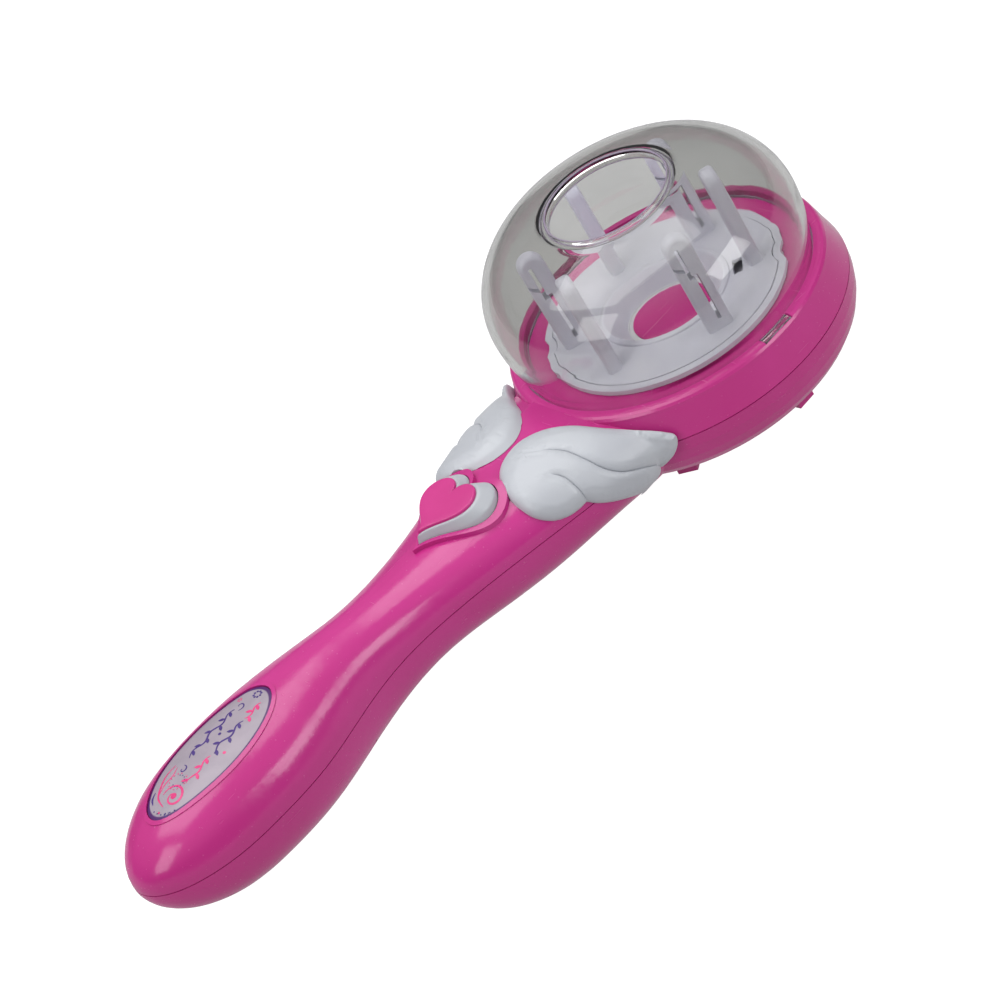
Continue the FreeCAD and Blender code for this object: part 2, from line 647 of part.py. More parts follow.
def prong():
    """One prong: two legs joined at a round top, a jogged slit and a gate in one leg."""
    width, depth, tall = size("prong_width"), size("prong_depth"), size("prong_height")
    slit, jog = size("prong_slit"), size("prong_jog")
    base = size("plate_level")
    leg = width / 2
    blank = block(-leg, leg, -depth / 2, depth / 2, base, base + tall - leg)
    crown = Part.makeCylinder(leg, depth, at(0, -depth / 2, base + tall - leg), Vector(0, 1, 0))
    blank = blank.fuse(crown).removeSplitter()
    long_edges = [edge for edge in blank.Edges if edge.BoundBox.ZLength > 2]
    blank = blank.makeFillet(depth * 0.32, long_edges)
    turn_level = base + tall * 0.6
    low_slit = block(-slit / 2 - jog, slit / 2 - jog, -9, 9, base + 3, turn_level)
    high_slit = block(-slit / 2 + jog, slit / 2 + jog, -9, 9, turn_level - slit, base + tall - 3.4)
    link = block(-slit / 2 - jog, slit / 2 + jog, -9, 9, turn_level - slit, turn_level)
    gate = block(jog, leg + 2, -9, 9, 0, slit)
    gate.rotate(at(jog), Vector(0, 1, 0), -35)
    gate.translate(Vector(0, 0, turn_level + 1.2))
    peg = cylinder(size("peg_radius"), base - size("plate_wall") - 1.4, base + 0.5)
    return blank.cut([low_slit, high_slit, link, gate]).fuse(peg)


prong_blank = prong()
for number, ((x, y), lean) in enumerate(zip(prong_places, prong_leans), start=1):
    feature = keep("prong_%d" % number, prong_blank.Solids[0])
    feature.Placement = Placement(Vector(x, y, 0), Rotation(UP, lean), at(0))

# ----------------------------------------------------------------- gear train

def gear(module, teeth, low, high, x, space_first=False):
    """A spur gear with 25 degree teeth; space_first puts a gap towards the head."""
    pitch = module * teeth / 2
    base_radius = pitch * math.cos(math.radians(25))
    tip, root = pitch + 0.8 * module, pitch - 1.1 * module
    half_tooth = math.pi / (2 * teeth) - 0.05 * module / pitch
    spread_at_pitch = math.tan(math.radians(25)) - math.radians(25)
    shift = math.pi / teeth if space_first else 0.0
    flank = []
    for step in range(4):
        radius = max(root, base_radius) + (tip - max(root, base_radius)) * step / 3
        pressure = math.acos(min(1.0, base_radius / radius))
        flank.append((radius, half_tooth + spread_at_pitch - math.tan(pressure) + pressure))
    if root < base_radius:
        flank.insert(0, (root, flank[0][1]))
    corners = []
    for tooth in range(teeth):
        middle = 2 * math.pi * tooth / teeth + shift
        for radius, half in flank:
            corners.append((radius, middle - half))
        for radius, half in reversed(flank):
            corners.append((radius, middle + half))
    points = [at(x + radius * math.cos(angle), radius * math.sin(angle), low)
              for radius, angle in corners]
    return Part.Face(Part.makePolygon(points + points[:1])).extrude(Vector(0, 0, high - low))


bush_outside = size("post_radius") + size("fit_gap") + size("bush_wall")
rotor_gear = gear(size("rotor_module"), rotor_teeth, size("gear_level"), gear_top, 0)
rotor_gear = rotor_gear.cut([cylinder(bush_outside + size("fit_gap"), 0, 20)]
                            + [cylinder(1.3, 0, 20, x, y) for x, y in screw_ring])
keep("rotor_gear", rotor_gear.Solids[0])
turned("centre_bush", [
    ("sizes.post_radius + sizes.fit_gap", "1.6"),
    ("sizes.post_radius + 3.2", "1.6"),
    ("sizes.post_radius + 3.2", "sizes.gear_level - 0.2"),
    ("sizes.post_radius + sizes.fit_gap + sizes.bush_wall", "sizes.gear_level - 0.2"),
    ("sizes.post_radius + sizes.fit_gap + sizes.bush_wall", "sizes.post_level - 0.2"),
    ("sizes.post_radius + sizes.fit_gap", "sizes.post_level - 0.2")], "0")

axle_hole = size("axle_radius") + 0.06
second = gear(size("middle_module"), middle_teeth, -0.5, 2.0, second_x)
second = second.fuse([
    gear(size("rotor_module"), last_teeth, 2.0, 6.4, second_x, True),
    cylinder(2.4, 6.4, 6.8, second_x), cylinder(2.6, -2.9, -0.5, second_x)])
keep("second_gear", second.cut(cylinder(axle_hole, -20, 20, second_x)).Solids[0])
first = gear(size("first_module"), first_teeth, 3.3, 5.3, first_x)
first = first.fuse([
    gear(size("middle_module"), middle_pinion_teeth, -1.3, 3.3, first_x, True),
    cylinder(2.2, 5.3, 7.1, first_x), cylinder(2.2, -2.9, -1.3, first_x)])
keep("first_gear", first.cut(cylinder(axle_hole, -20, 20, first_x)).Solids[0])
pinion = gear(size("first_module"), motor_teeth, 3.2, 5.8, motor_x, True)
keep("motor_pinion", pinion.cut(cylinder(size("shaft_radius"), 0, 20, motor_x)).Solids[0])

for name, x in (("second_axle", second_x), ("first_axle", first_x)):
    keep(name, cylinder(size("axle_radius"), -8.8, deck_under + 1.2, x))

frame_top = axle_seat + 1.5
frame_plate = block(first_x - 2.4, second_x + 8.4, -14.0, 14.0, axle_seat, frame_top)
frame_plate = frame_plate.cut(
    [cylinder(size("axle_radius") + size("fit_gap"), -9, 0, x) for x in (second_x, first_x)]
    + [cylinder(1.35, -9, 0, x, y) for x, y in frame_screw_places])
keep("gear_frame", frame_plate)

motor_low = -13.7
motor_top = motor_low + size("motor_length")
can = cylinder(size("motor_radius"), motor_low, motor_top, motor_x)
can = can.fuse(cylinder(2.6, motor_top, motor_top + 0.5, motor_x))
can = can.cut(cylinder(size("shaft_radius") + size("fit_gap"), motor_low + 3, 20, motor_x))
keep("motor_can", can)
keep("motor_shaft", cylinder(size("shaft_radius"), motor_low + 3.2, 6.2, motor_x))

# -------------------------------------------------------------------- screws

def screw(radius, head, thick, length, seat, x, y, upward=True):
    """A pan head screw; seat is the level under its head."""
    sign = 1 if upward else -1
    axis = Vector(0, 0, sign)
    shank = Part.makeCylinder(radius, length, at(x, y, seat), axis)
    cap = Part.makeCylinder(head, thick, at(x, y, seat), axis * -1)
    cross = []
    for turn in (0, 90):
        bar = block(x - head * 0.62, x + head * 0.62, y - 0.3, y + 0.3,
                    seat - (thick if upward else -thick * 0.4),
                    seat + (-thick * 0.4 if upward else thick))
        bar.rotate(at(x, y, seat), UP, turn)
        cross.append(bar)
    return shank.fuse(cap).cut(cross).removeSplitter()


keep("housing_screws", Part.makeCompound([
    screw(size("screw_radius"), size("head_radius"), 1.8, 14.6, screw_seat, x, y).Solids[0]
    for x, y in screw_places]))
keep("rotor_screws", Part.makeCompound([
    screw(1.25, 2.2, 1.4, 4.2, base_floor, x, y, False).Solids[0] for x, y in screw_ring]))
keep("frame_screws", Part.makeCompound([
    screw(1.0, 2.0, 1.2, 6.0, frame_top, x, y, False).Solids[0]
    for x, y in frame_screw_places]))
keep("door_screw", screw(1.25, 2.3, 1.5, 8.0, -15.0, door_screw_x, 0).Solids[0])
keep("board_screws", Part.makeCompound([
    screw(1.0, 1.8, 1.0, 7.0, size("board_level") + size("board_wall"), x, 0, False).Solids[0]
    for x in board_screw_places]))

# ------------------------------------------------------- button and electrics

board = doc.addObject("PartDesign::Body", "circuit_board")
board.Label = "circuit_board"
board_plane = [plane for plane in board.Origin.OriginFeatures if plane.Role == "XY_Plane"][0]
outline = board.newObject("Sketcher::SketchObject", "board_outline")
outline.AttachmentSupport = [(board_plane, "")]
outline.MapMode = "FlatFace"
board_corners = [(-110.5, -9.0), (-77.5, -9.0), (-77.5, 9.0), (-110.5, 9.0)]
for row in range(4):
    outline.addGeometry(Part.LineSegment(Vector(*board_corners[row], 0),
                                         Vector(*board_corners[(row + 1) % 4], 0)), False)
for row in range(4):
    outline.addConstraint(Sketcher.Constraint("Coincident", row, 2, (row + 1) % 4, 1))
    outline.addConstraint(Sketcher.Constraint("DistanceX", -1, 1, row, 1, board_corners[row][0]))
    outline.addConstraint(Sketcher.Constraint("DistanceY", -1, 1, row, 1, board_corners[row][1]))
for row, x in enumerate(board_screw_places, start=4):
    outline.addGeometry(Part.Circle(Vector(x, 0, 0), UP, 1.15), False)
    outline.addConstraint(Sketcher.Constraint("DistanceX", -1, 1, row, 3, x))
    outline.addConstraint(Sketcher.Constraint("PointOnObject", row, 3, -1))
    outline.addConstraint(Sketcher.Constraint("Radius", row, 1.15))
pad = board.newObject("PartDesign::Pad", "board_thickness")
pad.Profile = outline
pad.setExpression("Length", "sizes.board_wall")
board.Tip = pad
board.setExpression("Placement.Base.x", HEAD_EXPR)
board.setExpression("Placement.Base.z", "sizes.seam_level + sizes.board_level")
nodes.append(board)

board_top = size("board_level") + size("board_wall")
button_x = -size("heart_reach")
plunger_top = size("heart_seat") - 6.5
plunger = cylinder(1.6, 3.0, plunger_top, button_x)
keep("switch_plunger", plunger)
switch = block(button_x - 3.5, button_x + 3.5, -3.5, 3.5, board_top, board_top + 4.0)
keep("push_switch", switch.cut(cylinder(1.9, board_top + 0.8, 20, button_x)))

spring_low, spring_high = board_top + 4.0, plunger_top - 0.25
coils = 4
helix = Part.makeHelix((spring_high - spring_low - 0.5) / coils,
                       spring_high - spring_low - 0.5, 2.6)
helix.translate(at(button_x, 0, spring_low + 0.25))
wire_end = Part.Wire(Part.Circle(at(button_x + 2.6, 0, spring_low + 0.25),
                                 Vector(0, 1, 0), 0.22).toShape())
keep("button_spring", Part.Wire(helix).makePipeShell([wire_end], True, True))

flange = heart_prism(1.4, -6.2, -5.0).common(block(-BIG, BIG, -6.5, 6.5, -BIG, BIG))
flange = flange.fuse(cylinder(2.2, plunger_top, size("heart_seat") - 5.6, button_x))
length, width = size("heart_length"), size("heart_width")
share, rise = size("cap_share"), size("heart_rise")
low_heart, high_heart = heart_wire(length, width), heart_wire(
    length * (share + 0.06), width * (share + 0.06), -0.9)
high_heart.translate(Vector(0, 0, rise))
slope = Part.makeLoft([low_heart, high_heart], True, False)
stem = Part.Face(heart_wire(length, width)).extrude(Vector(0, 0, 5.2))
stem.translate(Vector(0, 0, -5.2))
heart_button = tilted(slope).fuse([tilted(stem), flange])
cap_wire = heart_wire(length * share, width * share, -0.9)
cap_blank = Part.Face(cap_wire).extrude(Vector(0, 0, size("cap_height")))
cap_blank.translate(Vector(0, 0, rise))
keep("heart_button", heart_button.Solids[0])
keep("heart_cap", tilted(cap_blank))

cell_level = size("cell_level")
cell_offset = size("cell_offset")
for name, y, sign in (("upper_cell", cell_offset, 1), ("lower_cell", -cell_offset, -1)):
    axis = Vector(sign, 0, 0)
    start = at(door_middle - sign * cell_end, y, cell_level)
    can_length = size("cell_length") - 1.4
    cell = Part.makeCylinder(size("cell_radius"), can_length, start, axis)
    cell = cell.fuse(Part.makeCylinder(2.7, size("cell_length"), start, axis))
    keep(name, cell)

front_x, rear_x = door_middle + cell_end, door_middle - cell_end
contacts = []
for x, step in ((front_x + 1.9, -1), (rear_x - 1.9, 1)):
    for y in (cell_offset, -cell_offset):
        plate = block(x - 0.25, x + 0.25, y - 5.5, y + 5.5, cell_level - 5, cell_level + 5)
        contacts.append(plate.fuse([
            Part.makeTorus(radius, 0.4, at(x + step * offset, y, cell_level), Vector(1, 0, 0))
            for radius, offset in ((4.0, 0.55), (3.4, 1.1))]))
keep("battery_contacts", Part.makeCompound([piece.Solids[0] for piece in contacts]))

# ------------------------------------------------------------ check and write

doc.recompute()
failed = [item.Name for item in doc.Objects if "Invalid" in item.State or "Error" in item.State]
if failed:
    raise RuntimeError("objects failed: " + ", ".join(failed))
for node in nodes:
    if node.Shape.isNull() or not node.Shape.isValid():
        raise RuntimeError("bad shape: " + node.Label)

os.makedirs("parts", exist_ok=True)
for node in nodes:
    node.Shape.exportStep("parts/%s.step" % node.Label)
    print("%-18s %9.1f mm3 %d solid(s)" % (node.Label, node.Shape.Volume, len(node.Shape.Solids)))
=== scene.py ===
import math

import bmesh
import bpy
import numpy as np
from mathutils import Matrix, Vector
from mathutils.bvhtree import BVHTree
from mathutils.geometry import delaunay_2d_cdt


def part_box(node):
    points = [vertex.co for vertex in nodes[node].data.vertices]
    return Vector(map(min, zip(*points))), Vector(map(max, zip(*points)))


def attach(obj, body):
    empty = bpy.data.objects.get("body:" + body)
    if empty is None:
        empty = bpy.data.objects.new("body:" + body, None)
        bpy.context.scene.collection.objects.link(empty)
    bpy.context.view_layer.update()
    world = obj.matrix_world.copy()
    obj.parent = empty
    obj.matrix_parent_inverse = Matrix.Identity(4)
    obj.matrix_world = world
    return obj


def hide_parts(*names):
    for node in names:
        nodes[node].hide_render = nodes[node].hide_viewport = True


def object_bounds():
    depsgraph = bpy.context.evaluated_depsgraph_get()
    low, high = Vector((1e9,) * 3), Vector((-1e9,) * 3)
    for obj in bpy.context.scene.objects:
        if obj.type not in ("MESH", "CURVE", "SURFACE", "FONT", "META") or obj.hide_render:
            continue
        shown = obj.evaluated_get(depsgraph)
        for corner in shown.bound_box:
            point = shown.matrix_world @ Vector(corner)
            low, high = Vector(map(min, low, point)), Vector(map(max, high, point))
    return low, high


# Looks of the hair braider wand: pink shells, white wings and heart, a clear
# dome over the braiding prongs and a printed oval label. Metres throughout;
# sizes given in millimetres are multiplied by MM.

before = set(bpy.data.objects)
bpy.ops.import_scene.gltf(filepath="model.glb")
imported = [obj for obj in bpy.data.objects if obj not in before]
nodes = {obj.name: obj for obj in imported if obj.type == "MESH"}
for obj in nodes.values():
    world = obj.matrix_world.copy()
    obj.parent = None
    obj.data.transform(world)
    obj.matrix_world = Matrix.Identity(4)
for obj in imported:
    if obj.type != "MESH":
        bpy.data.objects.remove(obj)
cad_low, cad_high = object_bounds()

MM = 0.001
hub_low, hub_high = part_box("hub_ring")
HEAD_X = (hub_low.x + hub_high.x) / 2
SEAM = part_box("top_housing")[0].z


# ------------------------------------------------------------------ helpers

def paint(red, green, blue):
    """A linear colour from display values between 0 and 255."""
    shares = [value / 255 for value in (red, green, blue)]
    return tuple(s / 12.92 if s <= 0.04045 else ((s + 0.055) / 1.055) ** 2.4
                 for s in shares) + (1.0,)


def piece(name, mesh, material, body, slot, *stands_for, sharp=40):
    """Turn a finished mesh into a riding piece with its finish."""
    mesh.materials.clear()
    mesh.materials.append(material)
    mesh.shade_smooth()
    mesh.set_sharp_from_angle(angle=math.radians(sharp))
    made = bpy.data.objects.new(name, mesh)
    bpy.context.scene.collection.objects.link(made)
    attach(made, body)
    if stands_for:
        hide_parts(*stands_for)
    return made


def mesh_from(name, bm):
    """Close off a bmesh: merge its doubles, turn every face outwards and store it."""
    bmesh.ops.remove_doubles(bm, verts=bm.verts, dist=1e-7)
    bmesh.ops.recalc_face_normals(bm, faces=bm.faces)
    mesh = bpy.data.meshes.new(name)
    bm.to_mesh(mesh)
    bm.free()
    return mesh


def bridge(bm, lower, upper):
    """Quads between two closed rings of the same count."""
    count = len(lower)
    for step in range(count):
        after = (step + 1) % count
        bm.faces.new((lower[step], lower[after], upper[after], upper[step]))


def surface_tree(*names):
    """A search tree over the meshes of some nodes."""
    points, faces = [], []
    for name in names:
        mesh = nodes[name].data
        start = len(points)
        points += [vertex.co.copy() for vertex in mesh.vertices]
        faces += [[start + index for index in polygon.vertices] for polygon in mesh.polygons]
    return BVHTree.FromPolygons(points, faces)


# ------------------------------------------------------------ shader groups

def shader_group(name, inputs, outputs):
    tree = bpy.data.node_groups.new(name, "ShaderNodeTree")
    for label, kind, value in inputs:
        socket = tree.interface.new_socket(name=label, in_out="INPUT", socket_type=kind)
        if value is not None:
            socket.default_value = value
    for label, kind in outputs:
        tree.interface.new_socket(name=label, in_out="OUTPUT", socket_type=kind)
    return tree, tree.nodes.new("NodeGroupInput"), tree.nodes.new("NodeGroupOutput")


def noise_in(tree, vector, scale, detail, rough=0.5, distortion=0.0):
    made = tree.nodes.new("ShaderNodeTexNoise")
    made.inputs["Scale"].default_value = scale
    made.inputs["Detail"].default_value = detail
    made.inputs["Roughness"].default_value = rough
    made.inputs["Distortion"].default_value = distortion
    tree.links.new(vector, made.inputs["Vector"])
    return made


def math_in(tree, operation, first, second=None, third=None):
    made = tree.nodes.new("ShaderNodeMath")
    made.operation = operation
    for slot, value in enumerate((first, second, third)):
        if value is None:
            continue
        if isinstance(value, (int, float)):
            made.inputs[slot].default_value = value
        else:
            tree.links.new(value, made.inputs[slot])
    return made.outputs["Value"]


def ramp_in(tree, value, low, high, out_low=0.0, out_high=1.0):
    made = tree.nodes.new("ShaderNodeMapRange")
    made.interpolation_type = "SMOOTHSTEP"
    for label, number in (("From Min", low), ("From Max", high),
                          ("To Min", out_low), ("To Max", out_high)):
        made.inputs[label].default_value = number
    tree.links.new(value, made.inputs["Value"])
    return made.outputs["Result"]


def mix_in(tree, share, first, second):
    made = tree.nodes.new("ShaderNodeMix")
    made.data_type = "RGBA"
    for label, value in (("Factor_Float", share), ("A_Color", first), ("B_Color", second)):
        socket = next(s for s in made.inputs if s.identifier == label)
        if isinstance(value, (int, float, tuple)):
            socket.default_value = value
        else:
            tree.links.new(value, socket)
    return next(s for s in made.outputs if s.identifier == "Result_Color")


def make_moulded_skin():
    """Long slow waves and a fine grain, as a moulded plastic skin has."""
    tree, given, out = shader_group(
        "moulded_skin",
        [("Vector", "NodeSocketVector", None), ("Wave", "NodeSocketFloat", 1.0),
         ("Grain", "NodeSocketFloat", 0.2)],
        [("Height", "NodeSocketFloat")])
    wave = noise_in(tree, given.outputs["Vector"], 130.0, 1.5)
    grain = noise_in(tree, given.outputs["Vector"], 2400.0, 3.0, 0.6)
    slow = math_in(tree, "MULTIPLY", wave.outputs["Fac"], given.outputs["Wave"])
    height = math_in(tree, "MULTIPLY_ADD", grain.outputs["Fac"], given.outputs["Grain"], slow)
    tree.links.new(height, out.inputs["Height"])
    return tree


def make_handling():
    """Smudges from fingers and fine hairline scratches along the wand."""
    tree, given, out = shader_group(
        "handling",
        [("Vector", "NodeSocketVector", None), ("Smudge Scale", "NodeSocketFloat", 55.0)],
        [("Smudge", "NodeSocketFloat"), ("Scratch", "NodeSocketFloat")])
    smear = noise_in(tree, given.outputs["Vector"], 1.0, 4.0, 0.62, 0.7)
    tree.links.new(given.outputs["Smudge Scale"], smear.inputs["Scale"])
    tree.links.new(ramp_in(tree, smear.outputs["Fac"], 0.46, 0.72), out.inputs["Smudge"])
    masks = []
    for turn, stretch in ((0.35, (45, 1500, 1500)), (-0.6, (1300, 40, 1300))):
        mapping = tree.nodes.new("ShaderNodeMapping")
        mapping.inputs["Rotation"].default_value = (0.2, turn / 2, turn)
        mapping.inputs["Scale"].default_value = stretch
        tree.links.new(given.outputs["Vector"], mapping.inputs["Vector"])
        lines = noise_in(tree, mapping.outputs["Vector"], 1.0, 1.0)
        masks.append(ramp_in(tree, lines.outputs["Fac"], 0.735, 0.79))
    tree.links.new(math_in(tree, "MAXIMUM", *masks), out.inputs["Scratch"])
    return tree


def make_colour_drift():
    """Two close colours that drift into each other, as pigment does in a mould."""
    tree, given, out = shader_group(
        "colour_drift",
        [("Vector", "NodeSocketVector", None), ("Scale", "NodeSocketFloat", 30.0),
         ("Main", "NodeSocketColor", (1, 1, 1, 1)), ("Drift", "NodeSocketColor", (1, 1, 1, 1))],
        [("Color", "NodeSocketColor")])
    cloud = noise_in(tree, given.outputs["Vector"], 1.0, 3.0, 0.55, 0.4)
    tree.links.new(given.outputs["Scale"], cloud.inputs["Scale"])
    share = ramp_in(tree, cloud.outputs["Fac"], 0.32, 0.7)
    tree.links.new(mix_in(tree, share, given.outputs["Main"], given.outputs["Drift"]),
                   out.inputs["Color"])
    return tree


def make_specks():
    """Dust and tiny moulding specks: small dots of one strength in a random few cells."""
    tree, given, out = shader_group(
        "specks",
        [("Vector", "NodeSocketVector", None), ("Scale", "NodeSocketFloat", 700.0),
         ("Size", "NodeSocketFloat", 0.16)],
        [("Mask", "NodeSocketFloat")])
    cells = tree.nodes.new("ShaderNodeTexVoronoi")
    cells.feature = "F1"
    tree.links.new(given.outputs["Vector"], cells.inputs["Vector"])
    tree.links.new(given.outputs["Scale"], cells.inputs["Scale"])
    near = math_in(tree, "LESS_THAN", cells.outputs["Distance"], given.outputs["Size"])
    parts = tree.nodes.new("ShaderNodeSeparateColor")
    tree.links.new(cells.outputs["Color"], parts.inputs["Color"])
    chosen = math_in(tree, "GREATER_THAN", parts.outputs["Red"], 0.86)
    tree.links.new(math_in(tree, "MULTIPLY", near, chosen), out.inputs["Mask"])
    return tree


moulded_skin = make_moulded_skin()
handling = make_handling()
colour_drift = make_colour_drift()
specks = make_specks()


class Finish:
    """A material being built: its tree, its shader and the object's coordinates."""

    def __init__(self, name):
        self.material = bpy.data.materials.new(name)
        self.material.use_nodes = True
        self.tree = self.material.node_tree
        self.tree.nodes.clear()
        self.shader = self.tree.nodes.new("ShaderNodeBsdfPrincipled")
        self.output = self.tree.nodes.new("ShaderNodeOutputMaterial")
        self.tree.links.new(self.shader.outputs["BSDF"], self.output.inputs["Surface"])
        self.place = self.tree.nodes.new("ShaderNodeTexCoord").outputs["Object"]

    def group(self, tree, **values):
        made = self.tree.nodes.new("ShaderNodeGroup")
        made.node_tree = tree
        self.tree.links.new(self.place, made.inputs["Vector"])
        for label, value in values.items():
            made.inputs[label.replace("_", " ")].default_value = value
        return made

    def set(self, **values):
        for label, value in values.items():
            self.shader.inputs[label.replace("_", " ")].default_value = value

    def feed(self, label, value):
        self.tree.links.new(value, self.shader.inputs[label])

    def bump(self, height, distance, strength=1.0):
        made = self.tree.nodes.new("ShaderNodeBump")
        made.inputs["Distance"].default_value = distance
        made.inputs["Strength"].default_value = strength
        self.tree.links.new(height, made.inputs["Height"])
        self.feed("Normal", made.outputs["Normal"])


def plastic(name, main, drift, rough, smudged, wave, grain, ior=1.5, drift_scale=30.0,
            dust=None):
    """A moulded plastic: drifting colour, smudged gloss, hairlines and a moulded skin."""
    finish = Finish(name)
    colour = finish.group(colour_drift, Scale=drift_scale, Main=main, Drift=drift).outputs["Color"]
    touched = finish.group(handling)
    gloss = math_in(finish.tree, "MULTIPLY_ADD", touched.outputs["Smudge"], smudged, rough)
    gloss = math_in(finish.tree, "MULTIPLY_ADD", touched.outputs["Scratch"], 0.22, gloss)
    if dust:
        mask = finish.group(specks).outputs["Mask"]
        colour = mix_in(finish.tree, math_in(finish.tree, "MULTIPLY", mask, 0.1), colour, dust)
    finish.feed("Base Color", colour)
    finish.feed("Roughness", gloss)
    finish.set(IOR=ior)
    skin = finish.group(moulded_skin, Wave=wave, Grain=grain).outputs["Height"]
    height = math_in(finish.tree, "MULTIPLY_ADD", touched.outputs["Scratch"], -0.25, skin)
    finish.bump(height, 0.00006)
    return finish


def shell_pink():
    return plastic("gloss_pink_shell", paint(192, 48, 132), paint(185, 42, 124), 0.18, 0.09,
                   0.9, 0.05, 1.5, 22.0, paint(240, 170, 210)).material


def heart_pink():
    return plastic("satin_pink_cap", paint(196, 48, 130), paint(190, 43, 124), 0.3, 0.1,
                   0.6, 0.12, 1.48, 60.0).material


def trim_white():
    """The wings and the heart's flank; painted shade greys the wing creases."""
    finish = plastic("satin_white_trim", paint(184, 187, 192), paint(177, 180, 186), 0.36, 0.1,
                     0.7, 0.14, 1.48, 45.0, paint(150, 145, 150))
    # Painted shade: up to 30 percent of a grey-blue is mixed into the colour along the wing
    # creases.
    crease_shade = finish.tree.nodes.new("ShaderNodeAttribute")
    crease_shade.attribute_name = "crease_shade"
    old = finish.shader.inputs["Base Color"].links[0].from_socket
    share = math_in(finish.tree, "MULTIPLY", crease_shade.outputs["Fac"], 0.3)
    finish.feed("Base Color", mix_in(finish.tree, share, old, paint(150, 150, 162)))
    return finish.material


def rotor_white():
    return plastic("lavender_white_rotor", paint(196, 195, 206), paint(188, 187, 200), 0.36, 0.1,
                   0.5, 0.2, 1.48, 50.0, paint(120, 115, 125)).material


def dome_clear():
    """Clear styrene with finger smudges and hairlines that scatter a little."""
    finish = Finish("clear_styrene_dome")
    touched = finish.group(handling, Smudge_Scale=38.0)
    gloss = math_in(finish.tree, "MULTIPLY_ADD", touched.outputs["Smudge"], 0.09, 0.015)
    gloss = math_in(finish.tree, "MULTIPLY_ADD", touched.outputs["Scratch"], 0.12, gloss)
    finish.feed("Roughness", gloss)
    tint = finish.group(colour_drift, Scale=25.0, Main=paint(222, 222, 219),
                        Drift=paint(216, 217, 214)).outputs["Color"]
    finish.feed("Base Color", tint)
    finish.set(IOR=1.42, Transmission_Weight=1.0, Metallic=0.0)
    skin = finish.group(moulded_skin, Wave=0.5, Grain=0.0).outputs["Height"]
    finish.bump(skin, 0.00008)
    clear = finish.tree.nodes.new("ShaderNodeBsdfTransparent")
    clear.inputs["Color"].default_value = paint(246, 246, 247)
    light = finish.tree.nodes.new("ShaderNodeLightPath")
    join = finish.tree.nodes.new("ShaderNodeMixShader")
    finish.tree.links.new(light.outputs["Is Shadow Ray"], join.inputs["Fac"])
    finish.tree.links.new(finish.shader.outputs["BSDF"], join.inputs[1])
    finish.tree.links.new(clear.outputs["BSDF"], join.inputs[2])
    finish.tree.links.new(join.outputs["Shader"], finish.output.inputs["Surface"])
    return finish.material


def metal(name, main, drift, rough, stretch, worn=0.12):
    """Turned or drawn metal: streaks along the working direction."""
    finish = Finish(name)
    mapping = finish.tree.nodes.new("ShaderNodeMapping")
    mapping.inputs["Scale"].default_value = stretch
    finish.tree.links.new(finish.place, mapping.inputs["Vector"])
    streak = noise_in(finish.tree, mapping.outputs["Vector"], 1.0, 3.0)
    finish.feed("Base Color", finish.group(colour_drift, Scale=160.0, Main=main,
                                           Drift=drift).outputs["Color"])
    gloss = math_in(finish.tree, "MULTIPLY_ADD", streak.outputs["Fac"], 0.2, rough)
    touched = finish.group(handling, Smudge_Scale=180.0)
    gloss = math_in(finish.tree, "MULTIPLY_ADD", touched.outputs["Smudge"], worn, gloss)
    finish.feed("Roughness", gloss)
    finish.set(Metallic=1.0)
    finish.bump(streak.outputs["Fac"], 0.00002, 0.6)
    return finish.material


def banded(name, colours, axis, edges, rough, metallic=0.0):
    """A printed sleeve or board: bands of colour along one axis, in metres."""
    finish = Finish(name)
    parts = finish.tree.nodes.new("ShaderNodeSeparateXYZ")
    finish.tree.links.new(finish.place, parts.inputs["Vector"])
    colour = finish.group(colour_drift, Scale=90.0, Main=colours[0],
                          Drift=tuple(0.9 * c for c in colours[0][:3]) + (1.0,)).outputs["Color"]
    for edge, band in zip(edges, colours[1:]):
        beyond = math_in(finish.tree, "GREATER_THAN", parts.outputs[axis], edge)
        colour = mix_in(finish.tree, beyond, colour, band)
    finish.feed("Base Color", colour)
    touched = finish.group(handling, Smudge_Scale=120.0)
    finish.feed("Roughness", math_in(finish.tree, "MULTIPLY_ADD",
                                     touched.outputs["Smudge"], 0.12, rough))
    finish.set(Metallic=metallic)
    finish.bump(finish.group(moulded_skin, Wave=0.3, Grain=0.3).outputs["Height"], 0.00003)
    return finish.material


def label_face():
    """A silvery oval label with a dark edge line, laid on the shell."""
    finish = Finish("printed_label")
    low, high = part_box("label_plate")
    half_x, half_y = (high.x - low.x) / 2, (high.y - low.y) / 2
    mapping = finish.tree.nodes.new("ShaderNodeMapping")
    mapping.vector_type = "TEXTURE"
    mapping.inputs["Location"].default_value = ((low.x + high.x) / 2, 0, 0)
    mapping.inputs["Scale"].default_value = (half_x, half_y, 1.0)
    finish.tree.links.new(finish.place, mapping.inputs["Vector"])
    flat = finish.tree.nodes.new("ShaderNodeVectorMath")
    flat.operation = "MULTIPLY"
    flat.inputs[1].default_value = (1, 1, 0)
    finish.tree.links.new(mapping.outputs["Vector"], flat.inputs[0])
    reach = finish.tree.nodes.new("ShaderNodeVectorMath")
    reach.operation = "LENGTH"
    finish.tree.links.new(flat.outputs["Vector"], reach.inputs[0])
    face = finish.group(colour_drift, Scale=120.0, Main=paint(160, 149, 160),
                        Drift=paint(152, 142, 153)).outputs["Color"]
    edge = ramp_in(finish.tree, reach.outputs["Value"], 0.945, 0.965)
    finish.feed("Base Color", mix_in(finish.tree, edge, face, paint(74, 26, 96)))
    touched = finish.group(handling, Smudge_Scale=90.0)
    finish.feed("Roughness", math_in(finish.tree, "MULTIPLY_ADD",
                                     touched.outputs["Smudge"], 0.12, 0.3))
    finish.set(IOR=1.45)
    finish.bump(finish.group(moulded_skin, Wave=0.2, Grain=0.3).outputs["Height"], 0.00002)
    return finish.material


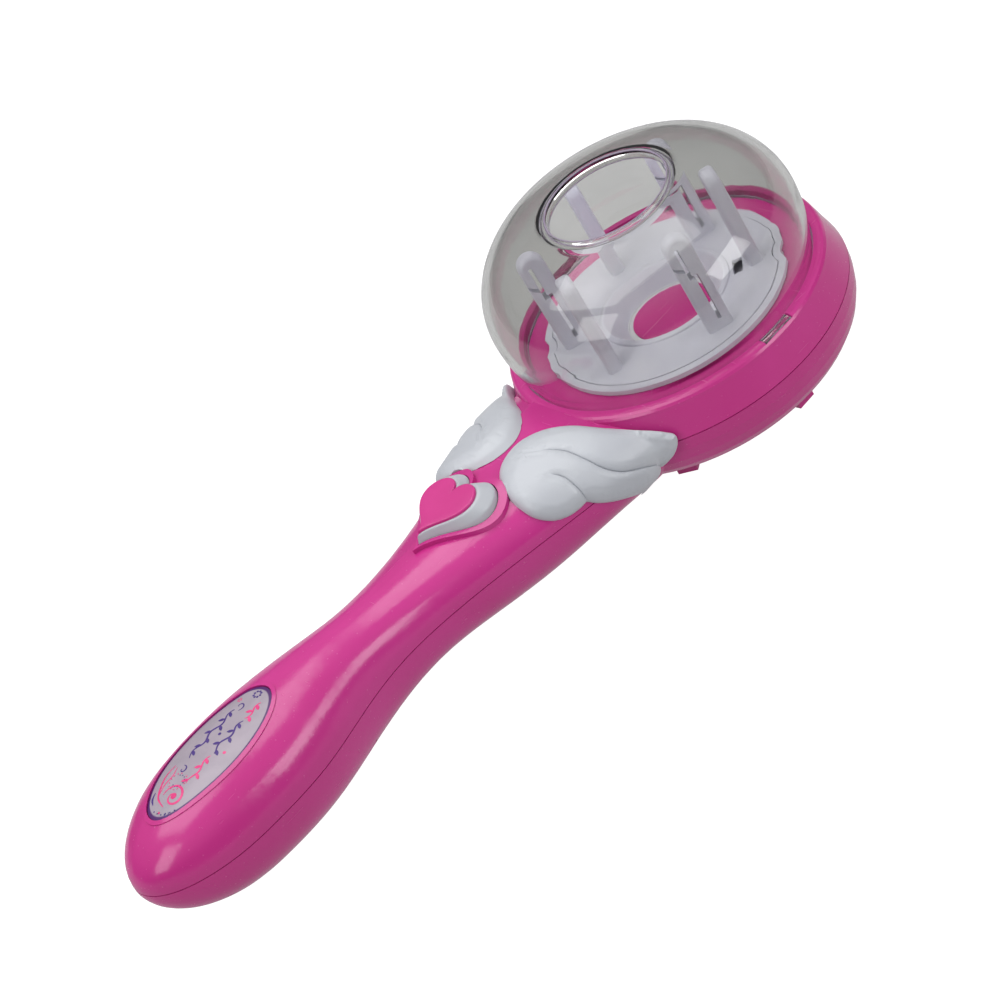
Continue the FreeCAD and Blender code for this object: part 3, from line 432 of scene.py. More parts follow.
def ink(name, colour):
    """Printing ink: even colour with slightly worn, glossy patches."""
    red, green, blue = colour
    return plastic(name, paint(red, green, blue),
                   paint(min(red + 14, 255), min(green + 16, 255), min(blue + 14, 255)),
                   0.3, 0.12, 0.2, 0.2, 1.45, 420.0).material


pink_shell = shell_pink()
pink_cap = heart_pink()
white_trim = trim_white()
white_rotor = rotor_white()
clear_dome = dome_clear()
label_paper = label_face()
nylon = plastic("milky_nylon", paint(206, 205, 209), paint(198, 197, 203), 0.42, 0.1, 0.4, 0.3,
                1.53, 80.0).material
pulled_steel = metal("drawn_steel", paint(196, 198, 202), paint(182, 184, 190), 0.2,
                     (900, 900, 60))
motor_steel = metal("zinc_motor_can", paint(178, 180, 184), paint(160, 163, 168), 0.28,
                    (70, 70, 1200))
screw_steel = metal("plated_screw", paint(168, 170, 176), paint(140, 142, 150), 0.26,
                    (500, 500, 500), 0.2)
contact_metal = metal("sprung_contact", paint(214, 208, 190), paint(196, 188, 168), 0.22,
                      (60, 900, 900))
board_green = banded("lacquered_board", [paint(26, 92, 58), paint(34, 108, 68)], "X",
                     [HEAD_X - 95 * MM], 0.32)
switch_black = plastic("black_switch", paint(28, 28, 32), paint(38, 38, 42), 0.38, 0.1, 0.3, 0.3,
                       1.5, 200.0).material
cell_sleeve = banded("battery_sleeve",
                     [paint(196, 160, 92), paint(36, 40, 46), paint(190, 192, 196)],
                     "X", [-0.106, -0.0700], 0.28, 0.4)
# Painted refraction: grey-lilac rings on the dome's cut edges stand for the dark line the clear
# edges show by bending light.
painted_refraction_edge = plastic("painted_refraction_dome_edge", paint(150, 138, 156), paint(136, 124, 144), 0.4, 0.1, 0.2,
                     0.2, 1.5, 90.0).material
ink_purple = ink("purple_ink", (62, 38, 112))
ink_pink = ink("pink_ink", (208, 48, 116))


# -------------------------------------------------------------- clear dome

DOME = {"foot": 45.0, "bulge": 47.4, "step": 2.2, "height": 40.6, "wall": 2.0,
        "mouth": 18.4, "lip": 1.2, "tab_half": 5.3, "tab_reach": 2.6, "tab_height": 1.4}
DOME_TURNS = 192


def dome_arc(inset, steps):
    """(radius, height) points up the dome's side, shoulder and crown, moved inwards."""
    rise = 0.4 * DOME["height"] - DOME["step"]
    flare = DOME["bulge"] - DOME["foot"]
    side = (flare ** 2 + rise ** 2) / (2 * flare)
    waist = 0.4 * DOME["height"]
    crown = 2.1 * DOME["foot"]
    crown_level = DOME["height"] - math.sqrt(crown ** 2 - DOME["mouth"] ** 2)
    drop = waist - crown_level
    shoulder = (crown ** 2 - drop ** 2 - DOME["bulge"] ** 2) / (2 * (crown - DOME["bulge"]))
    touch = math.atan2(drop, DOME["bulge"] - shoulder)
    points = []
    for centre, radius, first, last, count in (
            ((DOME["bulge"] - side, waist), side - inset,
             math.asin((DOME["step"] - waist) / side), 0.0, steps // 4),
            ((DOME["bulge"] - shoulder, waist), shoulder - inset, 0.0, touch, steps),
            ((0.0, crown_level), crown - inset, touch,
             math.acos(DOME["mouth"] / (crown - inset)), steps // 2)):
        for step in range(count):
            turn = first + (last - first) * step / count
            points.append((centre[0] + radius * math.cos(turn),
                           centre[1] + radius * math.sin(turn)))
    turn = math.acos(DOME["mouth"] / (crown - inset))
    points.append(((crown - inset) * math.cos(turn),
                   crown_level + (crown - inset) * math.sin(turn)))
    return points


def dome_profile():
    """The whole closed wall: outside up, round the lip, and down the inside."""
    outer, inner = dome_arc(0.0, 28), dome_arc(DOME["wall"], 28)
    foot_out, foot_in = outer[0][0], inner[0][0]
    soft = 0.35
    profile = [(foot_out - soft, 0.0), (foot_out - soft * 0.3, soft * 0.3), (foot_out, soft)]
    profile += outer[:-1]
    top = outer[-1]
    profile += [(top[0] + 0.6, top[1] - 0.05), (top[0] + 0.15, top[1] - 0.22),
                (top[0], top[1] - 0.6)]
    low = inner[-1][1] - DOME["lip"]
    profile += [(top[0], low + 0.5), (top[0] + 0.15, low + 0.15), (top[0] + 0.5, low),
                (top[0] + DOME["wall"] * 0.8 - 0.4, low), (top[0] + DOME["wall"] * 0.8, low + 0.4),
                (top[0] + DOME["wall"] * 0.8 + 0.15, inner[-1][1] - 0.25),
                (top[0] + DOME["wall"] * 0.8 + 0.6, inner[-1][1] + 0.02 - 0.1)]
    profile += [point for point in reversed(inner[:-1]) if point[0] > top[0] + 3.0]
    profile += [(foot_in, soft), (foot_in + soft * 0.3, soft * 0.3), (foot_in + soft, 0.0)]
    return profile


def lathe(profile, turns, axis_x, level):
    """A closed ring of a profile turned about an upright axis."""
    bm = bmesh.new()
    rings = []
    for step in range(turns):
        turn = 2 * math.pi * step / turns
        rings.append([bm.verts.new((axis_x + radius * MM * math.cos(turn),
                                    radius * MM * math.sin(turn), level + height * MM))
                      for radius, height in profile])
    for step in range(turns):
        near, far = rings[step], rings[(step + 1) % turns]
        for row in range(len(profile)):
            after = (row + 1) % len(profile)
            bm.faces.new((near[row], far[row], far[after], near[after]))
    return bm


def make_dome():
    foot_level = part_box("dome_cover")[0].z
    shell = mesh_from("dome_shell", lathe(dome_profile(), DOME_TURNS, HEAD_X, foot_level))
    carrier = bpy.data.objects.new("dome_blank", shell)
    bpy.context.scene.collection.objects.link(carrier)
    reach = DOME["foot"] + DOME["tab_reach"]
    bm = bmesh.new()
    for side in (1, -1):
        corners = []
        for x, y in ((-DOME["tab_half"], DOME["foot"] - 1.2),
                     (DOME["tab_half"], DOME["foot"] - 1.2),
                     (DOME["tab_half"], reach), (-DOME["tab_half"], reach)):
            corners.append((HEAD_X + x * MM, side * y * MM))
        low = [bm.verts.new((x, y, foot_level + 0.02 * MM)) for x, y in corners]
        high = [bm.verts.new((x, y, foot_level + DOME["tab_height"] * MM)) for x, y in corners]
        bm.faces.new(low)
        bm.faces.new(high)
        bridge(bm, low, high)
    tabs = bpy.data.objects.new("dome_tabs", mesh_from("dome_tabs", bm))
    bpy.context.scene.collection.objects.link(tabs)
    join = carrier.modifiers.new("tabs", "BOOLEAN")
    join.operation = "UNION"
    join.solver = "EXACT"
    join.object = tabs
    ready = bpy.data.meshes.new_from_object(
        carrier.evaluated_get(bpy.context.evaluated_depsgraph_get()))
    for spare in (carrier, tabs):
        bpy.data.objects.remove(spare)
    return piece("dome_shell", ready, clear_dome, "dome", "clear_dome", "dome_cover", sharp=34)


def make_dome_edges():
    """Grey-lilac rings on the dome's foot and both edges of the mouth: painted refraction, standing
    for the dark line the clear edges show.
    """
    foot_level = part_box("dome_cover")[0].z
    top = dome_arc(0.0, 28)[-1]
    low = dome_arc(DOME["wall"], 28)[-1][1] - DOME["lip"]
    for name, radius, level, thick in (("dome_foot_edge", DOME["foot"] - 0.02, 0.3, 0.2),
                                       ("dome_mouth_edge", top[0] + 0.25, top[1] - 0.25, 0.26),
                                       ("dome_lip_edge", top[0] + 0.2, low + 0.2, 0.2)):
        ring = []
        for step in range(8):
            turn = math.pi * step / 4
            ring.append((radius + thick * math.cos(turn), level + thick * math.sin(turn)))
        piece(name, mesh_from(name, lathe(ring, DOME_TURNS, HEAD_X, foot_level)),
              painted_refraction_edge, "dome", "clear_dome", sharp=80)


# ------------------------------------------------------------------- wings

WING_TILT = math.radians(52.0)
TOP_FEATHER = [(-43.6, -22.7), (-40.6, -23.4), (-38.4, -22.0), (-37.7, -19.8), (-39.2, -17.0),
               (-44.0, -9.8), (-48.2, -2.6), (-51.6, 3.0), (-56.4, 7.6), (-63.0, 10.2),
               (-70.4, 9.6), (-76.0, 6.4), (-79.8, 0.6), (-80.2, -6.2), (-77.4, -11.0),
               (-73.4, -13.6), (-69.6, -14.6), (-66.6, -14.7)]
LOW_FEATHER = [(-66.6, -14.7), (-63.4, -17.8), (-58.6, -20.8), (-52.8, -23.2),
               (-47.6, -24.4), (-44.6, -24.0), (-43.6, -22.7)]
LONG_CREASE = [(-67.6, 7.4), (-62.7, 2.9), (-60.2, -1.2), (-59.1, -6.5), (-57.7, -12.0),
               (-54.4, -16.4), (-48.4, -20.0), (-44.6, -22.0), (-43.7, -22.6)]
SHORT_CREASE = [(-69.3, -1.3), (-67.0, -5.1), (-66.7, -9.6), (-66.8, -13.2), (-66.6, -14.6)]


def smooth_line(points, spacing):
    """Evenly spaced points on a smooth line through the given ones."""
    corners = [np.array(point, float) for point in points]
    dense = []
    for index in range(len(corners) - 1):
        before = corners[max(index - 1, 0)]
        here, there = corners[index], corners[index + 1]
        after = corners[min(index + 2, len(corners) - 1)]
        for step in range(16):
            t = step / 16
            dense.append(0.5 * (2 * here + (there - before) * t
                                + (2 * before - 5 * here + 4 * there - after) * t ** 2
                                + (3 * here - before - 3 * there + after) * t ** 3))
    dense.append(corners[-1])
    dense = np.array(dense)
    lengths = np.concatenate([[0], np.cumsum(np.linalg.norm(np.diff(dense, axis=0), axis=1))])
    count = max(2, int(round(lengths[-1] / spacing)))
    along = np.linspace(0, lengths[-1], count + 1)
    return np.stack([np.interp(along, lengths, dense[:, axis]) for axis in (0, 1)], axis=1)


def distance_to(points, line):
    """Distance of each point to a polyline, and the share along it of the nearest place."""
    starts, ends = line[:-1], line[1:]
    along = ends - starts
    size = np.maximum((along ** 2).sum(1), 1e-12)
    best = np.full(len(points), 1e9)
    share = np.zeros(len(points))
    for index in range(len(starts)):
        t = np.clip(((points - starts[index]) @ along[index]) / size[index], 0, 1)
        gap = np.linalg.norm(points - starts[index] - t[:, None] * along[index], axis=1)
        nearer = gap < best
        best = np.where(nearer, gap, best)
        share = np.where(nearer, (index + t) / len(starts), share)
    return best, share


def inside(points, loop):
    """Which points lie inside a closed loop."""
    x, y = points[:, 0], points[:, 1]
    found = np.zeros(len(points), bool)
    for here, there in zip(loop, np.roll(loop, -1, axis=0)):
        crosses = (here[1] > y) != (there[1] > y)
        rise = there[1] - here[1]
        rise = rise if abs(rise) > 1e-12 else 1e-12
        found ^= crosses & (x < (there[0] - here[0]) * (y - here[1]) / rise + here[0])
    return found


def pillow(gap, radius):
    """0 at an edge, rising round to 1 at a radius from it."""
    return np.sqrt(np.maximum(0.0, 1 - (1 - np.clip(gap / radius, 0, 1)) ** 2))


def offset_rows(line, distances, closed):
    """Points beside a line at several distances from it."""
    if closed:
        ahead, behind = np.roll(line, -1, axis=0), np.roll(line, 1, axis=0)
    else:
        ahead = np.vstack([line[1:], line[-1:]])
        behind = np.vstack([line[:1], line[:-1]])
    direction = ahead - behind
    direction /= np.maximum(np.linalg.norm(direction, axis=1), 1e-9)[:, None]
    normal = np.stack([-direction[:, 1], direction[:, 0]], axis=1)
    return [line + sign * gap * normal for gap in distances for sign in (1, -1)]


def wing_layout():
    """Flat points and triangles of one wing, with its edge loop and relief."""
    edge = np.vstack([smooth_line(TOP_FEATHER, 0.45)[:-1], smooth_line(LOW_FEATHER, 0.45)[:-1]])
    creases = [smooth_line(LONG_CREASE, 0.45), smooth_line(SHORT_CREASE, 0.45)]
    rows = (0.12, 0.32, 0.62, 1.05, 1.6)
    spots = []
    closed = np.vstack([edge, edge[:1]])
    for row, gap in zip(offset_rows(edge, rows, True), [g for g in rows for _ in (0, 1)]):
        far, _ = distance_to(row, closed)
        spots.append(row[(far > gap * 0.9) & inside(row, edge)])
    keep_off = 0.4
    for crease in creases:
        for row, gap in zip(offset_rows(crease, (0.18, 0.42, 0.8, 1.3), False),
                            [g for g in (0.18, 0.42, 0.8, 1.3) for _ in (0, 1)]):
            far, _ = distance_to(row, crease)
            rim, _ = distance_to(row, closed)
            spots.append(row[(far > gap * 0.9) & (rim > 1.7) & inside(row, edge)])
        rim, _ = distance_to(crease, closed)
        spots.append(crease[(rim > 0.25) & inside(crease, edge)])
    grid = np.stack(np.meshgrid(np.arange(-82, -36, 0.6), np.arange(-26, 12, 0.6)), -1)
    grid = grid.reshape(-1, 2)
    far, _ = distance_to(grid, closed)
    clear = (far > 1.9) & inside(grid, edge)
    for crease in creases:
        clear &= distance_to(grid, crease)[0] > 1.6
    spots.append(grid[clear])
    points = np.vstack([edge] + spots)
    count = len(edge)
    loops = [(row, (row + 1) % count) for row in range(count)]
    made = delaunay_2d_cdt([Vector(p) for p in points], loops, [], 1, 1e-5)
    flat = np.array([tuple(p) for p in made[0]])
    triangles = [list(face) for face in made[2]]
    rim, _ = distance_to(flat, closed)
    drop = 3.1 * (1 - pillow(rim, 3.6))
    # Painted shade mask: rises towards 1 near a crease, for greying the white trim there.
    crease_shade = np.zeros(len(flat))
    for crease, depth, width in ((creases[0], 1.25, 2.6), (creases[1], 1.05, 2.4)):
        gap, share = distance_to(flat, crease)
        fade = np.clip(share / 0.32, 0, 1)
        fade = fade * fade * (3 - 2 * fade)
        cut = depth * fade * (1 - pillow(gap, width))
        drop = np.maximum(drop, 0) + cut * (1 - 0.55 * np.clip(drop / 3.1, 0, 1))
        crease_shade = np.maximum(crease_shade, fade * np.clip(1 - gap / 1.1, 0, 1) ** 2)
    return flat, triangles, rim, drop, crease_shade


def make_wing(name, node, side, layout):
    flat, triangles, rim, drop, crease_shade = layout
    tree = surface_tree(node)
    outward = Vector((0, side * math.sin(WING_TILT), math.cos(WING_TILT)))
    upward = Vector((0, -side * math.cos(WING_TILT), math.sin(WING_TILT)))
    middle = flat.mean(axis=0)
    tops, feet = [], []
    for (u, v), edge_gap in zip(flat, rim):
        pull = 0.12 if edge_gap < 0.1 else 0.0
        aim = np.array((u, v))
        aim = aim + (middle - aim) / max(np.linalg.norm(middle - aim), 1e-6) * pull
        base = Vector((HEAD_X, 0, SEAM)) + Vector((aim[0] * MM, 0, 0)) + upward * aim[1] * MM
        true = Vector((HEAD_X, 0, SEAM)) + Vector((u * MM, 0, 0)) + upward * v * MM
        hit = tree.ray_cast(base + outward * 0.12, -outward)[0]
        if hit is None:
            hit = tree.find_nearest(base + outward * 40 * MM)[0]
        low = tree.ray_cast(hit - outward * 0.02 * MM, -outward)[0]
        low_t = (low - base).dot(outward) if low is not None else (hit - base).dot(outward) - 3 * MM
        tops.append(((hit - base).dot(outward), true))
        feet.append(low_t)
    heights = np.array([t for t, _ in tops])
    feet = np.array(feet)
    neighbours = [set() for _ in flat]
    for a, b, c in triangles:
        neighbours[a] |= {b, c}
        neighbours[b] |= {a, c}
        neighbours[c] |= {a, b}
    for values, rounds in ((heights, 4), (feet, 2)):
        for turn in range(rounds):
            around = np.array([np.median([values[n] for n in near]) if near else values[row]
                               for row, near in enumerate(neighbours)])
            share = np.where(np.abs(values - around) > 0.35 * MM, 1.0, 0.5)
            values += share * (around - values)
    levels = np.maximum(heights - drop * MM, np.minimum(feet + 0.12 * MM, heights))
    bm = bmesh.new()
    upper = [bm.verts.new(true + outward * level) for (_, true), level in zip(tops, levels)]
    lower = [bm.verts.new(true + outward * min(foot, level - 0.05 * MM))
             for (_, true), foot, level in zip(tops, feet, levels)]
    used = {}
    for a, b, c in triangles:
        bm.faces.new((upper[a], upper[b], upper[c]))
        bm.faces.new((lower[c], lower[b], lower[a]))
        for pair in ((a, b), (b, c), (c, a)):
            key = frozenset(pair)
            used[key] = None if key in used else pair
    for pair in used.values():
        if pair:
            a, b = pair
            bm.faces.new((upper[b], upper[a], lower[a], lower[b]))
    loose = [v for v in bm.verts if not v.link_faces]
    bmesh.ops.delete(bm, geom=loose, context="VERTS")
    # Stores the painted crease shade on each vertex for the white trim's colour.
    shade = bm.verts.layers.float.new("crease_shade")
    for vert, value in zip([v for v in upper if v.is_valid],
                           [h for v, h in zip(upper, crease_shade) if v.is_valid]):
        vert[shade] = float(value)
    return piece(name, mesh_from(name, bm), white_trim, "housing", "white_trim", node, sharp=70)


# ------------------------------------------------------------------- heart

HEART = {"length": 25.0, "width": 25.2, "reach": 91.6, "seat": 14.0, "rise": 2.8,
         "tilt": 4.6, "share": 0.76, "cap": 0.9, "shift": -0.9}


def heart_ring(bm, share, shift, level, shrink=0.0, count=120):
    """One level of the heart: its outline scaled by share and taken in by shrink."""
    length = HEART["length"] * share - 2 * shrink
    width = HEART["width"] * share - 2 * shrink
    ring = []
    for step in range(count):
        turn = 2 * math.pi * step / count
        along = (13 * math.cos(turn) - 4 * math.cos(2 * turn)
                 - 2 * math.cos(3 * turn) - math.cos(4 * turn))
        ring.append(bm.verts.new(((shift + length * ((along + 16) / 27.3 - 0.5)) * MM,
                                  width / 2 * math.sin(turn) ** 3 * MM, level * MM)))
    return ring


def stack(bm, rings):
    """Bridge rings in order and close both ends."""
    for lower, upper in zip(rings, rings[1:]):
        bridge(bm, lower, upper)
    bm.faces.new(rings[0][::-1])
    bm.faces.new(rings[-1])


def heart_place():
    return (Matrix.Translation((HEAD_X - HEART["reach"] * MM, 0, SEAM + HEART["seat"] * MM))
            @ Matrix.Rotation(math.radians(-HEART["tilt"]), 4, "Y"))


def make_heart():
    rise, share, shift = HEART["rise"], HEART["share"], HEART["shift"]
    bm = bmesh.new()
    rings = [heart_ring(bm, 1.0, 0.0, -5.2), heart_ring(bm, 1.0, 0.0, -0.5),
             heart_ring(bm, 1.0, 0.0, -0.12, 0.05), heart_ring(bm, 0.985, -0.05, 0.25, 0.05)]
    for part in (0.25, 0.5, 0.75, 0.9):
        rings.append(heart_ring(bm, 1.0 + (share + 0.06 - 1.0) * part, shift * part,
                                rise * part, 0.02))
    rings += [heart_ring(bm, share + 0.06, shift, rise - 0.08, 0.12),
              heart_ring(bm, share + 0.04, shift, rise, 0.2),
              heart_ring(bm, share - 0.1, shift, rise, 0.0)]
    stack(bm, rings)
    flange = [heart_ring(bm, 1.08, 0.0, level) for level in (-6.2, -5.1)]
    for ring in flange:
        for vert in ring:
            vert.co.y = max(-6.5 * MM, min(6.5 * MM, vert.co.y))
    stack(bm, flange)
    bmesh.ops.transform(bm, matrix=heart_place(), verts=bm.verts)
    piece("heart_button_flank", mesh_from("heart_button_flank", bm), white_trim, "button",
          "white_trim", "heart_button", sharp=38)
    bm = bmesh.new()
    top = rise + HEART["cap"]
    rings = [heart_ring(bm, share, shift, rise + 0.01), heart_ring(bm, share, shift, top - 0.38),
             heart_ring(bm, share, shift, top - 0.14, 0.1),
             heart_ring(bm, share, shift, top - 0.03, 0.28),
             heart_ring(bm, share, shift, top, 0.6), heart_ring(bm, share - 0.2, shift, top, 0.6)]
    stack(bm, rings)
    bmesh.ops.transform(bm, matrix=heart_place(), verts=bm.verts)
    piece("heart_button_face", mesh_from("heart_button_face", bm), pink_cap, "button",
          "heart_pink", "heart_cap", sharp=38)


# ------------------------------------------------------- label decoration

label_low, label_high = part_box("label_plate")
LABEL_X = (label_low.x + label_high.x) / 2
label_tree = surface_tree("label_plate")


def on_label(along, across, lift=0.05):
    """A point on the label's face, from its middle; along runs to the head, in mm."""
    start = Vector((LABEL_X + along * MM, across * MM, 0.08))
    hit = label_tree.ray_cast(start, Vector((0, 0, -1)))[0]
    if hit is None:
        hit = label_tree.find_nearest(Vector((start.x, start.y, label_high.z)))[0]
    return hit + Vector((0, 0, lift * MM))


def print_stroke(bm, points, width, taper=0.25):
    """A pen stroke of swelling width along a smooth line, as a thin closed strip."""
    line = smooth_line(points, 0.22)
    count = len(line)
    direction = np.gradient(line, axis=0)
    direction /= np.maximum(np.linalg.norm(direction, axis=1), 1e-9)[:, None]
    normal = np.stack([-direction[:, 1], direction[:, 0]], axis=1)
    rows = []
    for index in range(count):
        share = index / (count - 1)
        half = width / 2 * (taper + (1 - taper) * math.sin(math.pi * share) ** 0.8)
        left, right = line[index] + normal[index] * half, line[index] - normal[index] * half
        rows.append([bm.verts.new(on_label(*spot, lift)) for spot, lift in
                     ((left, 0.05), (right, 0.05), (right, -0.12), (left, -0.12))])
    for near, far in zip(rows, rows[1:]):
        bridge(bm, near, far)
    bm.faces.new(rows[0][::-1])
    bm.faces.new(rows[-1])


def print_blob(bm, outline):
    """A filled printed shape from its outline, as a thin closed tile."""
    top = [bm.verts.new(on_label(x, y, 0.055)) for x, y in outline]
    low = [bm.verts.new(on_label(x, y, -0.12)) for x, y in outline]
    bridge(bm, low, top)
    bm.faces.new(top)
    bm.faces.new(low[::-1])


def round_spot(x, y, radius, count=14):
    return [(x + radius * math.cos(2 * math.pi * step / count),
             y + radius * math.sin(2 * math.pi * step / count)) for step in range(count)]


def leaf(x, y, turn, length, width):
    """A pointed leaf growing from a point in a direction."""
    outline = []
    for side in (1, -1):
        for step in range(7):
            share = step / 7 if side == 1 else 1 - step / 7
            across = side * width / 2 * math.sin(math.pi * share) ** 0.8
            outline.append((x + length * share * math.cos(turn) - across * math.sin(turn),
                            y + length * share * math.sin(turn) + across * math.cos(turn)))
    return outline


def curl(x, y, start, turns, inner, outer, steps=26):
    """A spiral from its eye outwards."""
    return [(x + (inner + (outer - inner) * step / steps) * math.cos(start + turns * step / steps),
             y + (inner + (outer - inner) * step / steps) * math.sin(start + turns * step / steps))
            for step in range(steps + 1)]


def vine(bm, first, last, level, wave, width):
    """A wavy stem with leaves on alternate sides."""
    length = abs(last - first)
    steps = max(6, int(length / 1.2))
    line = [(first + (last - first) * step / steps,
             level + wave * math.sin(step * 1.2 * 0.9)) for step in range(steps + 1)]
    print_stroke(bm, line, width, 0.4)
    heading = math.pi if last < first else 0.0
    for row, (x, y) in enumerate(line[1:-1:2]):
        side = 1 if row % 2 else -1
        print_blob(bm, leaf(x, y, heading - side * 0.95, 2.3, 1.05))


def printed_shapes(purple, pink):
    vine(pink, 19.0, 12.6, -3.2, 0.6, 0.5)
    vine(purple, 11.8, -0.6, -3.4, 0.7, 0.62)
    vine(pink, -1.6, -11.6, -3.6, 0.6, 0.55)
    vine(purple, 14.0, -4.6, 3.0, 0.7, 0.6)
    print_stroke(purple, curl(15.6, 2.4, 2.6, -5.2, 0.25, 1.7), 0.4)
    print_stroke(pink, curl(-16.4, -2.2, 0.4, 7.6, 0.9, 3.9), 0.75)
    print_stroke(pink, [(-20.0, -1.0), (-18.4, 2.6), (-15.0, 4.6), (-11.4, 5.8), (-8.0, 5.2)], 0.7)
    print_stroke(pink, [(-17.6, 3.0), (-14.4, 3.6), (-11.0, 3.2), (-8.4, 4.0)], 0.4)
    print_blob(pink, round_spot(-16.2, -2.2, 0.95, 20))
    print_stroke(purple, curl(-8.4, 1.6, 1.2, 5.6, 0.2, 1.5), 0.45)
    print_stroke(purple, [(-20.6, 3.0), (-19.2, 4.6), (-17.2, 5.2)], 0.7)
    for step in range(8):
        turn = 2 * math.pi * step / 8
        print_blob(purple, round_spot(21.0 + 1.15 * math.cos(turn),
                                      0.6 + 1.15 * math.sin(turn), 0.36))
    for step in range(5):
        turn = 2 * math.pi * step / 5
        print_blob(pink, round_spot(17.4 + 0.55 * math.cos(turn),
                                    4.6 + 0.55 * math.sin(turn), 0.24))
    print_blob(pink, round_spot(1.0, -6.6, 0.5))
    print_blob(purple, round_spot(5.4, 0.0, 0.5))
    print_stroke(purple, curl(-21.4, -3.4, 0.0, 6.0, 0.3, 0.9), 0.3)
    print_blob(pink, round_spot(-21.8, -0.8, 0.35))


def dot_row_tree():
    """Raised ink dots spaced along a line laid on the label."""
    tree = bpy.data.node_groups.new("ink_dot_row", "GeometryNodeTree")
    tree.is_modifier = True
    names = {}
    for label, kind, way in (("Line", "NodeSocketGeometry", "INPUT"),
                             ("Dots", "NodeSocketInt", "INPUT"),
                             ("Dot Radius", "NodeSocketFloat", "INPUT"),
                             ("Ink", "NodeSocketMaterial", "INPUT"),
                             ("Geometry", "NodeSocketGeometry", "OUTPUT")):
        names[label] = tree.interface.new_socket(name=label, in_out=way,
                                                 socket_type=kind).identifier
    given, out = tree.nodes.new("NodeGroupInput"), tree.nodes.new("NodeGroupOutput")
    curve = tree.nodes.new("GeometryNodeMeshToCurve")
    spaced = tree.nodes.new("GeometryNodeResampleCurve")
    ball = tree.nodes.new("GeometryNodeMeshIcoSphere")
    ball.inputs["Subdivisions"].default_value = 2
    place = tree.nodes.new("GeometryNodeInstanceOnPoints")
    place.inputs["Scale"].default_value = (1.0, 1.0, 0.45)
    solid = tree.nodes.new("GeometryNodeRealizeInstances")
    inked = tree.nodes.new("GeometryNodeSetMaterial")
    link = tree.links.new
    link(given.outputs["Line"], curve.inputs["Mesh"])
    link(curve.outputs["Curve"], spaced.inputs["Curve"])
    link(given.outputs["Dots"], spaced.inputs["Count"])
    link(given.outputs["Dot Radius"], ball.inputs["Radius"])
    link(spaced.outputs["Curve"], place.inputs["Points"])
    link(ball.outputs["Mesh"], place.inputs["Instance"])
    link(place.outputs["Instances"], solid.inputs["Geometry"])
    link(solid.outputs["Geometry"], inked.inputs["Geometry"])
    link(given.outputs["Ink"], inked.inputs["Material"])
    link(inked.outputs["Geometry"], out.inputs["Geometry"])
    return tree, names


def grown_mesh(name, carrier, tree, values):
    """Evaluate a node tree on a carrier mesh and keep the plain result."""
    host = bpy.data.objects.new(name + "_host", carrier)
    bpy.context.scene.collection.objects.link(host)
    modifier = host.modifiers.new(name, "NODES")
    modifier.node_group = tree
    for identifier, value in values.items():
        modifier[identifier] = value
    host.update_tag()
    result = bpy.data.meshes.new_from_object(
        host.evaluated_get(bpy.context.evaluated_depsgraph_get()))
    bpy.data.objects.remove(host)
    result.name = name
    return result


def make_dot_rows():
    tree, names = dot_row_tree()
    for name, line, count, radius, colour in (
            ("label_dots_pink", curl(-12.0, 0.2, 0.2, 5.4, 2.5, 2.9), 13, 0.24, ink_pink),
            ("label_dots_purple", curl(-12.0, -0.2, 2.6, 4.2, 1.7, 2.1), 9, 0.2, ink_purple),
            ("label_dots_tail", [(-19.4, -5.4), (-21.2, -3.6), (-22.2, -1.4), (-22.0, 1.2)], 6,
             0.26, ink_purple)):
        carrier = bpy.data.meshes.new(name + "_line")
        spots = [on_label(x, y, 0.02) for x, y in line]
        carrier.from_pydata(spots, [(row, row + 1) for row in range(len(spots) - 1)], [])
        values = {names["Dots"]: count, names["Dot Radius"]: radius * MM, names["Ink"]: colour}
        piece(name, grown_mesh(name, carrier, tree, values), colour, "housing", "label_face")


def make_label_print():
    purple, pink = bmesh.new(), bmesh.new()
    printed_shapes(purple, pink)
    for name, bm, colour in (("label_print_purple", purple, ink_purple),
                             ("label_print_pink", pink, ink_pink)):
        piece(name, mesh_from(name, bm), colour, "housing", "label_face")
    make_dot_rows()


# ----------------------------------------------------- carried-over pieces

FINISHES = {
    pink_shell: ("top_housing", "bottom_housing", "battery_door"),
    white_rotor: ("rotor_base", "rotor_plate", "hub_ring", "prong_1", "prong_2", "prong_3",
                  "prong_4", "prong_5", "prong_6"),
    label_paper: ("label_plate",),
    nylon: ("rotor_gear", "centre_bush", "second_gear", "first_gear", "motor_pinion",
            "gear_frame"),
    pulled_steel: ("second_axle", "first_axle", "motor_shaft", "button_spring"),
    motor_steel: ("motor_can",),
    screw_steel: ("housing_screws", "rotor_screws", "frame_screws", "door_screw",
                  "board_screws"),
    board_green: ("circuit_board",),
    switch_black: ("switch_plunger", "push_switch"),
    cell_sleeve: ("upper_cell", "lower_cell"),
    contact_metal: ("battery_contacts",),
}


def dress_carried_pieces():
    for material, names in FINISHES.items():
        for name in names:
            for slot in nodes[name].material_slots:
                slot.material = material


# -------------------------------------------------------- stage and camera

def aim(target_object, place, target, roll=0.0):
    direction = (Vector(target) - Vector(place)).normalized()
    turn = direction.to_track_quat("-Z", "Y").to_matrix().to_4x4()
    target_object.matrix_world = (Matrix.Translation(place) @ turn
                                  @ Matrix.Rotation(roll, 4, "Z"))


def softbox(name, place, target, width, height, power, colour=(1, 1, 1)):
    data = bpy.data.lights.new(name, "AREA")
    data.shape = "RECTANGLE"
    data.size, data.size_y = width, height
    data.energy = power
    data.color = colour
    lamp = bpy.data.objects.new(name, data)
    bpy.context.scene.collection.objects.link(lamp)
    aim(lamp, place, target)
    return lamp


FLOOR_GLOW = 0.4  # what the white floor gives the object, against 1 seen directly


